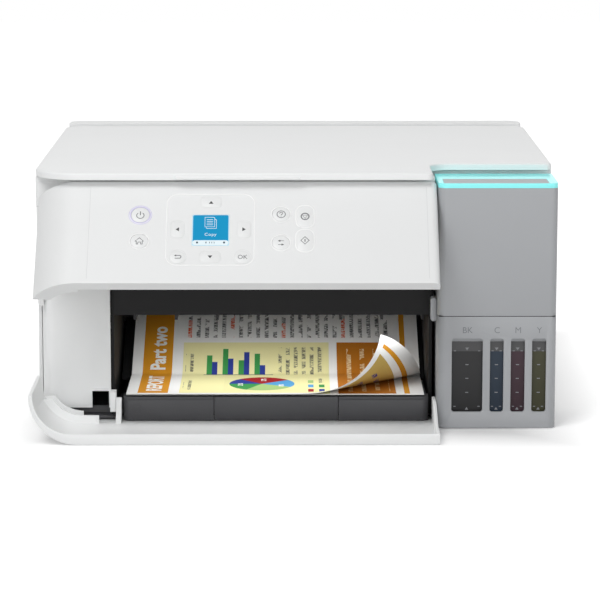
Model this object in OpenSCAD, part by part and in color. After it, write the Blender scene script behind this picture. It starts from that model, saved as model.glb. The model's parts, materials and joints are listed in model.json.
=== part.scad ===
// All-in-one inkjet printer with refillable side tanks, shown ready to print:
// front cover lowered, control panel tilted out, a page half way out over the tray.
// X runs to the right, Y to the back and Z up. The modules draw in depths d,
// counted back from the closed front face, and in_place() moves them to Y.

/* [Body] */
// Width of the body over both side covers
body_w = 375; // [371:1:379]
// Depth of the body from the closed front face to the rear cover
body_d = 347; // [344:1:352]
// Height of the side covers, where the scanner unit starts
case_top = 158; // [156:0.5:158.5]
// Radius of the large upright corner at the front left
front_r = 34; // [33:0.5:35]
// Radius of the rear upright corners
rear_r = 12; // [8:1:16]
// Thickness of the white moulded covers
wall = 2.5; // [2:0.1:3]

/* [Control panel] */
// Height of the panel's face
panel_h = 88; // [86:0.5:88.5]
// Thickness of the panel
panel_t = 8; // [7.5:0.1:8.2]
// Angle that the panel is tilted out at rest
panel_tilt = 44; // [35:1:45]
// Travel of a button
key_travel = 0.6; // [0.3:0.1:0.8]

/* [Front cover and tray] */
// Height of the front cover's pivot
pivot_z = 15.5; // [15.5:0.1:16]
// Depth of the front cover's pivot behind the front face
pivot_d = 15; // [14.5:0.1:15.5]
// Top edge of the closed front cover
cover_top = 85.5; // [84:0.5:85.5]
// Height of the front cover's rim
rim_h = 7.5; // [6:0.5:8]
// Width of the paper
paper_w = 216; // [210:1:216]

/* [Ink unit] */
// Left edge of the ink unit
tank_left = 102; // [101.8:0.1:103]
// Depth of the ink unit
tank_d = 59.5; // [58.5:0.5:59.5]
// Height of the seam between the tank case and its cover
tank_seam = 82.3; // [81:0.5:84]
// Top of the ink unit
tank_top = 178.3; // [177:0.1:178.5]

/* [Scanner and lid] */
// Top of the document glass
glass_top = 180; // [179.5:0.1:180]
// Top of the lid at its middle
lid_top = 187; // [186.5:0.1:188]
// Rear edge of the lid
lid_d = 313; // [311:1:313.5]
// Right edge of the lid where it makes room for the ink unit
notch_x = 98; // [96:0.5:98.5]
// Rear edge of that notch
notch_d = 57.5; // [57.5:0.1:59]

/* [Hidden] */
$fn = 64;

white = "#f1f2f2";
shade = "#d9dadb";
grey = "#a9abad";
dark = "#4c4c4e";
black = "#262628";
steel = "#b7bbbf";
cyan = "#7ffdfd";

// Body, and where the origin lies in its depth with the front cover lowered
hw = body_w / 2;
cover_reach = cover_top - pivot_z - pivot_d;
front_y = -(body_d - cover_reach) / 2;

// Control panel: its edges and pivot as closed, and what is on its face.
// Keys are placed by X and by how far they lie below the panel's top edge, with a radius or a size.
panel_pivot_d = 8;
panel_pivot_z = 169;
panel_top = 175;
panel_bottom = panel_top - panel_h;
panel_right = tank_left - 1;
panel_hinge_x = [-128, 84];
wing_end_d = 20.2;
face_t = 2.2;
cap_proud = 0.2;
round_keys = [[-109.7, 29.4, 6.5], [-109.8, 52.1, 6.2], [-10.1, 28.9, 6.2], [-10.2, 53.6, 6.2],
              [-82.6, 65.7, 5.6], [-37.1, 65.7, 5.6]];
long_keys = [[6.8, 30.8], [6.7, 51.6]];
long_key_size = [12, 18.6];
arrow_pads = [[-59.8, 18.2, 14, 9], [-59.9, 65.9, 14, 9], [-83.3, 42, 9, 14], [-36.3, 42, 9, 14]];
lcd_x = [-73, -46.6];
lcd_z = [panel_top - 56, panel_top - 29];

// Tray, ramp and paper path
tray_x = [-125, 96.5];
extension_x = [-59, 31];
tray_top = 20;
page_front = 10;
page_x = [-14.7 - paper_w / 2, -14.7 + paper_w / 2];
ramp_start = 83;
ramp_end = 150;
paper_z = 58.3;

// Ink unit
windows = [[112.4, 134.7], [139.9, 149.7], [154.9, 165], [170.1, 180.3]];
tank_x = [for (w = windows) [w[0] - 1.3, w[1] + 1.3]];
ink_top = 118;
neck_d = 22;
cap_hinge_d = 38;
cap_hinge_z = ink_top + 7.6;
tank_hinge_d = 48;
tank_hinge_z = 172;

// Scanner and lid
scan_front = 15.5;
scan_rear = lid_d + 1;
scan_hinge_x = [-142, 138];
scan_hinge_d = scan_rear + 3.5;
scan_hinge_z = 174;
lid_hinge_x = [-124, 120];
lid_hinge_d = scan_rear + 1.5;
lid_hinge_z = 181;
lid_under = glass_top + 0.8;
sensor_d = 190;
sensor_z = 166;

// Rear paper feed. The hopper's slope runs from its foot to its head, in depth and height.
feed_cover_z = 178.5;
feed_hinge_x = [-150.5, 146.5];
feed_hinge_d = body_d - 2.4;
feed_hinge_z = feed_cover_z + 1.7;
pickup_d = 285;
pickup_z = 78;
slope_foot = [296, 66];
slope_head = [341, 176];
slope_u = (slope_head - slope_foot) / norm(slope_head - slope_foot);
slope_n = [-slope_u[1], slope_u[0]];

// Print engine
engine_x = [-172, 178];
rail_d = 216;
rod_d = 206;
rod_z = 104;
home_x = 135;
motor_x = 160;
idler_x = -158;
belt_z = 126;
roller_z = 53.2;
feed_d = 205;
eject_d = 156;
idler_d = (feed_d + eject_d) / 2;
gear_x = [-179, -173];

// Sockets in the rear wall
inlet_x = [116, 148];
inlet_z = [19, 47];
usb_x = [-139, -123];
usb_z = [24, 40];

// Solids and outlines

module in_place() translate([0, front_y, 0]) children();

// A plain block between two values along each direction
module block(x, d, z) translate([x[0], d[0], z[0]]) cube([x[1] - x[0], d[1] - d[0], z[1] - z[0]]);

// A round bar along X
module x_rod(x, d, z, r) translate([x[0], d, z]) rotate([0, 90, 0]) cylinder(r = r, h = x[1] - x[0]);

// A round bar along d
module d_rod(x, d, z, r) translate([x, d[0], z]) rotate([-90, 0, 0]) cylinder(r = r, h = d[1] - d[0]);

// What a rounded corner leaves out of a square one
module corner(r) if (r > 0) difference() {
  translate([-1, -1]) square(r + 1);
  translate([r, r]) circle(r);
}

// A rectangle with its corners rounded in the order front left, front right, rear right, rear left
module round_rect(x, d, r) difference() {
  translate([x[0], d[0]]) square([x[1] - x[0], d[1] - d[0]]);
  translate([x[0], d[0]]) corner(r[0]);
  translate([x[1], d[0]]) mirror([1, 0]) corner(r[1]);
  translate([x[1], d[1]]) rotate(180) corner(r[2]);
  translate([x[0], d[1]]) mirror([0, 1]) corner(r[3]);
}

// A plate with rounded upright corners
module slab(x, d, z, r = [0, 0, 0, 0])
  translate([0, 0, z[0]]) linear_extrude(z[1] - z[0]) round_rect(x, d, r);

// A plate with rounded corners that faces forwards, drawn by its X and Z
module face_plate(x, z, d, r)
  translate([0, d[1], 0]) rotate([90, 0, 0]) linear_extrude(d[1] - d[0]) round_rect(x, z, [r, r, r, r]);

// A shape drawn in depth and height, as thick as x says
module profile(x) translate([x[0], 0, 0]) rotate([90, 0, 90]) linear_extrude(x[1] - x[0]) children();

// The outline of the whole body, drawn in by inset
module body_plan(inset = 0)
  round_rect([-hw + inset, hw - inset], [inset, body_d - inset],
             [front_r - inset, 6, rear_r - inset, rear_r - inset]);

// A band that follows the body's outline, between two insets
module body_band(z, from, to) translate([0, 0, z[0]]) linear_extrude(z[1] - z[0]) difference() {
  body_plan(from);
  body_plan(to);
}

// Casing

module base_pan() color(dark) in_place() {
  floor_z = [3.2, 5.7];
  side = hw - 3;
  rim_top = 11;
  difference() {
    slab([-side, side], [30, body_d - 3], [floor_z[0], rim_top], [4, 4, rear_r - 3, rear_r - 3]);
    slab([-side + 2.4, side - 2.4], [32.4, body_d - 5.4], [floor_z[1], rim_top + 1], [2, 2, 6, 6]);
    block([-135.6, 101], [29, 40], [floor_z[1], rim_top + 1]);
    block([tank_left - 1, hw], [29, tank_d + 0.7], [0, rim_top + 1]);
    for (x = [-40 : 10 : 60]) block([x, x + 4], [150, 190], [floor_z[0] - 1, floor_z[1] + 1]);
  }
  slab([-side + 4, -131.5], [19.4, 34], floor_z, [9, 0, 0, 0]);
}

module rubber_feet() color(black) in_place()
  for (x = [-160, 160], d = [75, 320]) translate([x, d, 0]) cylinder(r = 7, h = 3.2);

module left_side_cover() color(white) in_place() {
  from_d = wing_end_d + 0.8;
  end_x = -150;
  intersection() {
    body_band([3, case_top], 0, wall);
    block([-hw - 1, end_x], [from_d, body_d + 1], [0, case_top]);
    union() {
      block([-hw - 1, end_x], [from_d, body_d + 1], [cover_top + 1.1, case_top]);
      block([-hw - 1, end_x], [front_r + 2, body_d + 1], [0, case_top]);
    }
  }
  intersection() {
    body_band([case_top - 3, case_top], wall - 0.1, 8);
    block([-hw, end_x], [44, body_d - 8], [0, case_top]);
  }
  for (d = [90, 170, 250]) block([-hw + wall - 0.1, -hw + 6], [d, d + 2], [16, case_top - 2]);
}

module right_side_cover() color(white) in_place() {
  from_d = tank_d + 0.5;
  intersection() {
    body_band([3, case_top], 0, wall);
    block([150, hw + 1], [from_d, body_d + 1], [0, case_top]);
  }
  intersection() {
    body_band([case_top - 3, case_top], wall - 0.1, 8);
    block([150, hw], [from_d + 4, body_d - 8], [0, case_top]);
  }
  for (d = [90, 170, 250]) block([hw - 6, hw - wall + 0.1], [d, d + 2], [16, case_top - 2]);
}

// The rear wall, and the housing of the rear paper feed that it carries
module rear_cover() color(white) in_place() {
  deck_z = [case_top + 0.3, feed_cover_z - 0.8];
  front_d = scan_rear + 6.6;
  inner_d = body_d - wall;
  difference() {
    union() {
      block([-149.8, 149.8], [inner_d, body_d], [9, deck_z[1]]);
      intersection() {
        body_band(deck_z, 0, wall);
        block([-hw - 1, hw + 1], [front_d, body_d + 1], deck_z);
      }
      block([-hw + 0.6, hw - 0.6], [front_d, front_d + wall], deck_z);
      for (x = [-153, 150.5]) block([x, x + wall], [front_d + 1, inner_d + 1], deck_z);
      for (x = scan_hinge_x) {
        block([x, x + 4], [scan_hinge_d - 1, front_d + 1], [scan_hinge_z - 9, scan_hinge_z]);
        x_rod([x, x + 4], scan_hinge_d, scan_hinge_z, 3);
      }
      for (x = feed_hinge_x) profile([x, x + 4]) union() {
        translate([feed_hinge_d - 2, deck_z[1] - 6]) square([4, 8.5]);
        translate([feed_hinge_d, feed_hinge_z]) circle(2);
      }
    }
    for (x = feed_hinge_x) x_rod([x - 1, x + 5], feed_hinge_d, feed_hinge_z, 1.05);
    for (x = scan_hinge_x) x_rod([x - 1, x + 5], scan_hinge_d, scan_hinge_z, 1.55);
    block(inlet_x, [inner_d - 1, body_d + 1], inlet_z);
    block(usb_x, [inner_d - 1, body_d + 1], usb_z);
    for (x = [-60 : 8 : 60]) block([x, x + 4], [inner_d - 1, body_d + 1], [60, 100]);
  }
}

// The white pillar beside the paper opening, with its hinge post for the front cover
module front_frame() color(white) in_place() {
  face_d = 22;
  x_edge = -134.4;
  t = 2.2;
  left = -hw + 3.5;
  bottom = 11;
  top = case_top - 3.2;
  hole_x = [-148, -135.8];
  hole_z = [bottom - 1, 23.5];
  difference() {
    union() {
      intersection() {
        translate([0, 0, bottom]) linear_extrude(top - bottom) difference() {
          round_rect([left, 200], [face_d, 200], [9, 0, 0, 0]);
          round_rect([left + t, 201], [face_d + t, 201], [9 - t, 0, 0, 0]);
        }
        block([left - 1, x_edge], [face_d - 1, 43], [bottom, top]);
      }
      block([hole_x[0] - 1.4, x_edge], [face_d - 1, face_d + 1], [bottom + 3, hole_z[1] + 1.6]);
    }
    block(hole_x, [face_d - 2, face_d + t + 1], hole_z);
  }
  difference() {
    block([-134.4, -130.4], [pivot_d - 3.5, face_d + t], [10, 24]);
    x_rod([-136, -129], pivot_d, pivot_z, 2.05);
  }
}

// The black liner of the space that the pages come out into
module output_bay() color(black) in_place() {
  left = -134.2;
  right = 99.4;
  t = 2.4;
  d0 = 25;
  ceiling = 79;
  block([left, right], [d0, d0 + t], [ceiling, case_top - 3.2]);
  block([left, right], [d0 + t - 0.1, ramp_end - 8], [ceiling, ceiling + t]);
  block([left, left + t], [d0, ramp_end], [5.8, ceiling + 0.1]);
  block([right - t, right], [d0, ramp_end], [5.8, ceiling + 0.1]);
  block([left + t - 0.1, right - t + 0.1], [ramp_end - 10.4, ramp_end - 8], [68, ceiling + 0.1]);
  for (x = [-118 : 30 : 92]) block([x, x + 2], [d0 + 8, ramp_end - 10], [ceiling - 5, ceiling + 0.1]);
  for (x = [-128, 84]) difference() {
    profile([x - 2, x + 2]) union() {
      polygon([[d0 + 0.1, case_top - 22], [d0 + 0.1, case_top - 3.2], [13, case_top - 1],
               [12.4, panel_pivot_z], [8.6, panel_pivot_z], [8.6, case_top - 6]]);
      translate([panel_pivot_d, panel_pivot_z]) circle(3);
    }
    x_rod([x - 3, x + 3], panel_pivot_d, panel_pivot_z, 1.55);
  }
}

// The sloping guide that pages slide down into the tray
module exit_ramp() color(black) in_place() {
  foot_z = 5.7;
  top_from = 21.4;
  top_to = 55.2;
  profile([-130, 96.6]) polygon([[ramp_start, top_from - 2.4], [ramp_start, top_from],
                                 [ramp_end, top_to], [ramp_end, top_to - 2.4]]);
  for (x = [-112 : 37 : 84]) profile([x, x + 3])
    polygon([[ramp_start + 4, foot_z], [ramp_start + 4, top_from - 0.6],
             [ramp_end - 4, top_to - 3], [ramp_end - 4, foot_z]]);
}

// Front cover and output tray

// Turns what is drawn as closed down to the open position
module lowered() translate([0, pivot_d, pivot_z]) rotate([90, 0, 0])
  translate([0, -pivot_d, -pivot_z]) children();

module front_cover() color(white) in_place() lowered() {
  bottom = pivot_z - 3;
  right = tank_left - 0.5;
  end_d = front_r + 1;
  floor_t = 2.5;
  intersection() {
    union() {
      body_band([bottom, cover_top], 0, floor_t);
      translate([0, 0, cover_top - 2.5]) linear_extrude(2.5) difference() {
        body_plan(0);
        round_rect([-hw + 2.9, hw], [rim_h, 100], [27, 0, 0, 0]);
      }
    }
    block([-hw - 1, right], [-1, end_d], [bottom, cover_top]);
  }
  // ribs across the corner of the left wing
  intersection() {
    union() {
      body_band([bottom, bottom + 2], 2.4, 9);
      body_band([bottom + 13, bottom + 15], 2.4, 8.5);
    }
    union() {
      block([-hw, -154], [2, 20.5], [bottom, bottom + 4]);
      block([-hw, -142], [2, 20.5], [bottom + 10, bottom + 20]);
    }
  }
  // the slanted wall at the right end, three gussets under the rim and the left hinge lug
  profile([right - 2.4, right]) polygon([
    [0.5, bottom], [0.5, cover_top], [8, cover_top], [8, 62], [19, 32], [19, bottom - 1.5],
    [pivot_d, bottom - 1.5], [8, bottom]]);
  for (g = [[-105, 26], [-20, 9], [70, 26]]) profile([g[0], g[0] + 1.6])
    polygon([[2, cover_top - g[1]], [2, cover_top - 2], [6.5, cover_top - 2],
             [2.6, cover_top + 1 - g[1]]]);
  profile([-130, -126.2]) polygon([[2, bottom], [2, bottom + 16], [8, bottom + 10],
                                   [pivot_d, pivot_z + 4.5], [pivot_d, bottom - 1.2]]);
  x_rod([-130, -126.2], pivot_d, pivot_z, 4.5);
  x_rod([-133.8, -126.2], pivot_d, pivot_z, 2);
  x_rod([right - 2, tank_left + 2], pivot_d, pivot_z, 2);
}

module output_tray() color(dark) in_place() {
  front_d = 12;
  rear_d = ramp_start - 5;
  front_z = [3.4, 21];
  deck_t = 2.5;
  channel = 14;
  cut_x = [extension_x[0] - 0.3, extension_x[1] + 0.3];
  groove = front_z[1] - 2.4;
  difference() {
    union() {
      slab(tray_x, [front_d, front_d + 12], front_z, [5, 5, 0, 0]);
      block([tray_x[0] + 1, tray_x[1] - 1], [front_d + 8, rear_d], [channel - deck_t, tray_top]);
    }
    slab([tray_x[0] + 2.4, tray_x[1] - 2.4], [front_d + 2.6, front_d + 13], [3, tray_top - deck_t],
         [3, 3, 0, 0]);
    block(cut_x, [front_d - 1, rear_d + 1], [channel, front_z[1] + 1]);
    block(cut_x, [front_d - 1, front_d + 5], [front_z[0] - 1, front_z[1] + 1]);
    for (side = [[tray_x[0] + 3.4, cut_x[0] - 2.4], [cut_x[1] + 2.4, tray_x[1] - 3.4]])
      block(side, [front_d + 10, rear_d - 2.4], [channel - deck_t - 1, tray_top - deck_t]);
    for (x = [[tray_x[0] - 1, cut_x[0]], [cut_x[1], tray_x[1] + 1]])
      block(x, [front_d - 1, front_d + 0.3], [groove, groove + 0.4]);
  }
  for (x = [tray_x[0] + 1.5, tray_x[1] - 6.5])
    block([x, x + 5], [rear_d - 8, ramp_end - 14], [8, 13.4]);
  block(cut_x, [front_d + 5.2, front_d + 14], [channel - deck_t, channel]);
}

module tray_extension() color(dark) in_place() {
  front_d = 12;
  rear_d = ramp_start - 6;
  difference() {
    union() {
      block(extension_x, [front_d, rear_d], [14.4, tray_top - 0.3]);
      block(extension_x, [front_d, front_d + 2.5], [3.7, 21]);
    }
    for (x = [extension_x[0] + 8 : 14 : extension_x[1] - 12])
      block([x, x + 8], [front_d + 20, rear_d - 6], [17.6, tray_top]);
  }
}

// A sheet that lies on the tray and climbs the ramp, drawn along its underside
module sheet_profile(lift, front, rear, t = 0.3) {
  low = 22.4 + lift;
  high = paper_z;
  top_d = 152;
  slope = (high - low) / (top_d - ramp_start);
  on_ramp = rear < top_d;
  end_z = on_ramp ? low + (rear - ramp_start) * slope : high;
  under = on_ramp
    ? [[front, low], [ramp_start, low], [rear, end_z]]
    : [[front, low], [ramp_start, low], [top_d, high], [rear, high]];
  polygon(concat(under, [for (i = [len(under) - 1 : -1 : 0]) under[i] + [0, t]]));
}

// The page that is being printed, and a half sheet printed before it
module printed_pages() color("white") in_place() {
  profile(page_x) sheet_profile(0.8, page_front, 276);
  profile(page_x) sheet_profile(0, page_front + 1, 138);
}

// Control panel, drawn closed and then tilted out about its hinge

module tilted() translate([0, panel_pivot_d, panel_pivot_z]) rotate([-panel_tilt, 0, 0])
  translate([0, -panel_pivot_d, -panel_pivot_z]) children();

// A round hole or key at a place counted right and down from the panel's top middle
module round_at(key, grow, d) translate([0, 0, panel_top]) d_rod(key[0], d, -key[1], key[2] + grow);

// A rounded rectangle at such a place
module pad_at(key, size, grow, d, r)
  face_plate([key[0] - size[0] / 2 - grow, key[0] + size[0] / 2 + grow],
             [panel_top - key[1] - size[1] / 2 - grow, panel_top - key[1] + size[1] / 2 + grow],
             d, r + grow);

module control_panel() color(white) in_place() tilted() {
  solid_z = panel_top - 10.5;
  inner_x = [-150, panel_right - 2.4];
  difference() {
    union() {
      intersection() {
        body_band([panel_bottom, panel_top], 0, panel_t);
        block([-hw, panel_right], [-1, wing_end_d], [panel_bottom, panel_top]);
      }
      intersection() {
        body_band([panel_bottom, panel_top], panel_t - 0.1, panel_t + 3);
        block([-hw, -152], [-1, wing_end_d], [panel_bottom, panel_top]);
      }
    }
    block(inner_x, [face_t, panel_t + 1], [panel_bottom + 2.2, solid_z]);
    block([inner_x[0] + 4, inner_x[1] - 4], [face_t + 2, panel_t + 1], [solid_z - 1, solid_z + 0.2]);
    for (key = round_keys) round_at(key, 0.3, [-1, face_t + 1]);
    for (key = long_keys) pad_at(key, long_key_size, 0.3, [-1, face_t + 1], 5);
    for (pad = arrow_pads) pad_at(pad, [pad[2], pad[3]], 0.3, [-1, face_t + 1], 3);
    face_plate(lcd_x, lcd_z, [-1, face_t + 1], 1);
    for (x = panel_hinge_x) {
      x_rod([x - 2.4, x + 2.4], panel_pivot_d, panel_pivot_z, 3.5);
      block([x - 2.4, x + 2.4], [panel_pivot_d - 3.5, panel_t + 4], [panel_pivot_z - 5, panel_pivot_z]);
    }
  }
  for (x = panel_hinge_x, side = [-1, 1]) x_rod([x + side * 4.2 - 1.8, x + side * 4.2 + 1.8],
                                               panel_pivot_d, panel_pivot_z, 2.8);
  for (x = panel_hinge_x) x_rod([x - 4, x + 4], panel_pivot_d, panel_pivot_z, 1.5);
  for (x = [-140, -24, 90], z = [panel_bottom + 8, panel_top - 17])
    d_rod(x, [face_t - 0.1, panel_t - 2], z, 3);
}

module panel_back() color(shade) in_place() tilted()
  block([-149.8, panel_right - 2.6], [panel_t - 2, panel_t], [panel_bottom + 2.4, panel_top - 10.7]);

module lcd_screen() color("#1b96c8") in_place() tilted() {
  edge = 0.2;
  face_plate([lcd_x[0] + edge, lcd_x[1] - edge], [lcd_z[0] + edge, lcd_z[1] - edge],
             [0.1, face_t + 0.3], 0.8);
  block([lcd_x[0] - 2, lcd_x[1] + 2], [face_t + 0.1, face_t + 2.4], [lcd_z[0] - 2, lcd_z[1] + 2]);
}

// A key's cap, with the flange behind the panel's face that keeps it in
module round_key(key) color(white) in_place() tilted() {
  round_at(key, 0, [-cap_proud, face_t + 0.4]);
  round_at(key, 0.9, [face_t + 0.3, face_t + 1.3]);
  round_at([key[0], key[1], 1.5], 0, [face_t + 1, panel_t - 2 - key_travel - 0.3]);
}

module long_key(key) color(white) in_place() tilted() {
  pad_at(key, long_key_size, 0, [-cap_proud, face_t + 0.4], 5);
  pad_at(key, long_key_size, 0.8, [face_t + 0.3, face_t + 1.3], 5);
  round_at([key[0], key[1], 1.5], 0, [face_t + 1, panel_t - 2 - key_travel - 0.3]);
}

module power_button() round_key(round_keys[0]);
module home_button() round_key(round_keys[1]);
module help_button() round_key(round_keys[2]);
module page_button() round_key(round_keys[3]);
module back_key() round_key(round_keys[4]);
module ok_key() round_key(round_keys[5]);
module stop_button() long_key(long_keys[0]);
module start_button() long_key(long_keys[1]);

// The four arrow keys are one moulding, joined by a ring round the display behind the panel's face
module arrow_keys() color(white) in_place() tilted() {
  ring_x = [lcd_x[0] - 6.7, lcd_x[1] + 6.7];
  ring_z = [lcd_z[0] - 6.7, lcd_z[1] + 6.7];
  bar = 2.2;
  for (pad = arrow_pads) {
    pad_at(pad, [pad[2], pad[3]], 0, [-cap_proud, face_t + 0.5], 3);
    pad_at(pad, [pad[2], pad[3]], 0.9, [face_t + 0.4, face_t + 1.4], 3);
  }
  difference() {
    face_plate(ring_x, ring_z, [face_t + 0.4, face_t + 1.4], 7);
    face_plate([ring_x[0] + bar, ring_x[1] - bar], [ring_z[0] + bar, ring_z[1] - bar],
               [face_t - 1, face_t + 3], 5);
  }
}

// Ink unit

module tank_case() color(grey) in_place() {
  t = 2.5;
  bottom = 0.5;
  top = tank_seam - 0.3;
  left = tank_left;
  r = [6, 5, 1, 1];
  difference() {
    union() {
      slab([left, hw], [0, tank_d], [bottom, top], r);
      block([left, hw], [tank_d - 2.2, tank_d], [top - 1, tank_hinge_z - 6.5]);
      face_plate([left - 4.5, left - 0.3], [77, 94], [10, 20], 2);
      block([left - 1, left + 1], [11, 19], [77.5, top - 0.5]);
      for (x = [left + 2.9, hw - 6.9]) profile([x, x + 4]) union() {
        polygon([[tank_d - 2, tank_hinge_z - 22], [tank_d - 2, tank_hinge_z - 10],
                 [tank_hinge_d + 3.5, tank_hinge_z - 4], [tank_hinge_d + 2.4, tank_hinge_z],
                 [tank_hinge_d - 2.4, tank_hinge_z]]);
        translate([tank_hinge_d, tank_hinge_z]) circle(2.4);
      }
    }
    slab([left + t, hw - t], [t, tank_d - 2.2], [3, top + 1], [3.5, 3.5, 0, 0]);
    for (w = windows) face_plate(w, [12.2, 66.1], [-1, t + 1], 2);
    x_rod([left - 1, left + t + 1], pivot_d, pivot_z, 2.05);
    for (x = [left + 2.9, hw - 6.9]) x_rod([x - 1, x + 5], tank_hinge_d, tank_hinge_z, 1.05);
  }
}

// The grey lid over the ink tanks, which tips up about its rear edge
module tank_cover() color(grey) in_place() {
  t = 2.5;
  bottom = tank_seam + 0.2;
  rear = tank_d - 2.5;
  top = tank_top - 3.5;
  left = tank_left;
  hinge_pockets = [left + 2.5, hw - 7.3];
  difference() {
    union() {
      slab([left, hw], [0, rear], [bottom, top], [6, 5, 1, 1]);
      block([left + 4.2, hw - 6.6], [1.8, 25.8], [top - 0.1, tank_top]);
    }
    slab([left + t, hw - t], [t, rear + 1], [bottom - 1, top - t], [3.5, 3.5, 0, 0]);
    for (x = hinge_pockets) block([x, x + 4.8], [tank_hinge_d - 3.6, rear + 1], [bottom + 40, top + 1]);
  }
  for (x = hinge_pockets) x_rod([x - 0.3, x + 5.1], tank_hinge_d, tank_hinge_z, 1);
  for (x = [left + 7.3, hw - 9.8]) block([x, x + 2.5], [tank_hinge_d - 3, rear], [top - 8, top]);
}

// The clear light guide that glows round the top of the tank cover
module led_light_guide() color(cyan) in_place() {
  left = tank_left;
  top = tank_top - 3.5;
  difference() {
    slab([left, hw], [0, tank_d - 2.5], [top + 0.1, tank_top], [6, 5, 1, 1]);
    block([left + 4, hw - 6.4], [1.6, 26], [top - 1, tank_top + 1]);
  }
}

// A translucent tank with its filler neck and the ears that hold its cap
module ink_tank(n, colour) color(colour) in_place() {
  x = tank_x[n];
  middle = (x[0] + x[1]) / 2;
  difference() {
    union() {
      slab(x, [2.8, tank_d - 3], [3.3, ink_top], [1, 1, 1, 1]);
      translate([middle, neck_d, ink_top - 1]) cylinder(r = 4.5, h = 7);
      for (side = [-1, 1]) profile([middle + side * 3.5 - 1, middle + side * 3.5 + 1]) union() {
        polygon([[cap_hinge_d - 3, ink_top - 1], [cap_hinge_d - 2.2, cap_hinge_z],
                 [cap_hinge_d + 2.2, cap_hinge_z], [cap_hinge_d + 3, ink_top - 1]]);
        translate([cap_hinge_d, cap_hinge_z]) circle(2.2);
      }
    }
    translate([middle, neck_d, ink_top - 20]) cylinder(r = 3.2, h = 40);
    x_rod([middle - 6, middle + 6], cap_hinge_d, cap_hinge_z, 1.05);
  }
}

// A snap cap on its arm, hinged behind the filler neck
module ink_cap(n, colour) color(colour) in_place() {
  middle = (tank_x[n][0] + tank_x[n][1]) / 2;
  low = ink_top + 6.2;
  translate([middle, neck_d, low]) cylinder(r = 5.6, h = 4);
  block([middle - 2, middle + 2], [neck_d, cap_hinge_d], [low, low + 2.8]);
  block([middle - 2.5, middle + 2.5], [neck_d - 9, neck_d - 3], [low + 1, low + 2.6]);
  x_rod([middle - 2.1, middle + 2.1], cap_hinge_d, cap_hinge_z, 1.9);
  x_rod([middle - 4.3, middle + 4.3], cap_hinge_d, cap_hinge_z, 1);
}

module ink_tank_black() ink_tank(0, "#3a3a3a");
module ink_tank_cyan() ink_tank(1, "#37424f");
module ink_tank_magenta() ink_tank(2, "#4b3940");
module ink_tank_yellow() ink_tank(3, "#4e4d3a");
module ink_cap_black() ink_cap(0, "#303032");
module ink_cap_cyan() ink_cap(1, "#1d7fb8");
module ink_cap_magenta() ink_cap(2, "#b8307a");
module ink_cap_yellow() ink_cap(3, "#d8b820");

// Four tubes that run back from the tanks, up and across to a clip above the carriage
module ink_tubes() color("#6d7073") in_place() {
  tube_r = 1.5;
  low = 24;
  high = 142;
  bend = 8;
  back_d = 146;
  clip_x = -6;
  for (n = [0 : 3]) {
    x = 110 + 5 * n;
    d = back_d + 5 * n;
    d_rod(x, [tank_d + 0.2, d - bend], low, tube_r);
    translate([x, d - bend, low + bend]) rotate([0, 90, 0])
      rotate_extrude(angle = 90) translate([bend, 0]) circle(tube_r);
    translate([x, d, low + bend]) cylinder(r = tube_r, h = high - low - 2 * bend);
    translate([x - bend, d, high - bend]) rotate([90, 0, 0])
      rotate_extrude(angle = 90) translate([bend, 0]) circle(tube_r);
    x_rod([clip_x, x - bend], d, high, tube_r);
  }
  block([clip_x - 8, clip_x + 2], [back_d - 4, back_d + 20], [high - 4, high + 4]);
  block([clip_x - 8, clip_x + 2], [back_d - 4, rail_d], [136, high - 3.9]);
}

// Scanner unit and lid

// The scanner's outline, kept clear of the tilting panel and of the ink unit
module scan_plan(inset = 0) difference() {
  corner_r = front_r - scan_front;
  union() {
    round_rect([-hw + scan_front + inset, hw - inset], [scan_front + inset, 100],
               [corner_r - inset, 0, 0, 0]);
    round_rect([-hw + inset, hw - inset], [26 + inset, scan_rear - inset],
               [3, 0, 10 - inset, 10 - inset]);
  }
  translate([notch_x + 2 - inset, -1]) square([hw, tank_d + 3.2 + inset]);
}

module scanner_base() color(white) in_place() {
  low = case_top + 0.3;
  top = glass_top - 4;
  difference() {
    translate([0, 0, low]) linear_extrude(top - low) scan_plan();
    translate([0, 0, low + wall]) linear_extrude(top - low) scan_plan(wall);
  }
  for (x = scan_hinge_x, side = [-4.3, 4.3]) profile([x + side, x + side + 4]) union() {
    polygon([[scan_rear - 0.5, scan_hinge_z - 12], [scan_rear - 0.5, scan_hinge_z + 1.9],
             [scan_hinge_d, scan_hinge_z + 2.8], [scan_hinge_d + 1.5, scan_hinge_z - 2]]);
    translate([scan_hinge_d, scan_hinge_z]) circle(2.8);
  }
  for (x = scan_hinge_x) x_rod([x - 2, x + 6], scan_hinge_d, scan_hinge_z, 1.5);
  for (x = [-184, 180]) difference() {
    block([x, x + 4], [sensor_d - 6, sensor_d + 6], [low + wall - 0.1, sensor_z + 6]);
    x_rod([x - 1, x + 5], sensor_d, sensor_z, 3.05);
  }
}

module scanner_top_frame() color(white) in_place() {
  low = glass_top - 4;
  difference() {
    union() {
      difference() {
        translate([0, 0, low]) linear_extrude(4) scan_plan();
        for (x = lid_hinge_x)
          block([x - 5, x + 9], [lid_d - 0.8, scan_rear + 1], [low + 1.5, glass_top + 1]);
      }
      for (x = lid_hinge_x) profile([x, x + 4]) union() {
        polygon([[scan_rear - 1.9, low], [scan_rear - 1.9, glass_top], [lid_hinge_d - 2.6, lid_hinge_z],
                 [lid_hinge_d + 2.6, lid_hinge_z], [lid_hinge_d + 2, low]]);
        translate([lid_hinge_d, lid_hinge_z]) circle(2.6);
      }
    }
    block([-166, 130], [74, 290], [low - 1, glass_top + 1]);
    block([-170, 134], [70, 294], [low - 1, glass_top - 1]);
    for (x = lid_hinge_x) x_rod([x - 1, x + 5], lid_hinge_d, lid_hinge_z, 1.55);
  }
}

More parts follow.
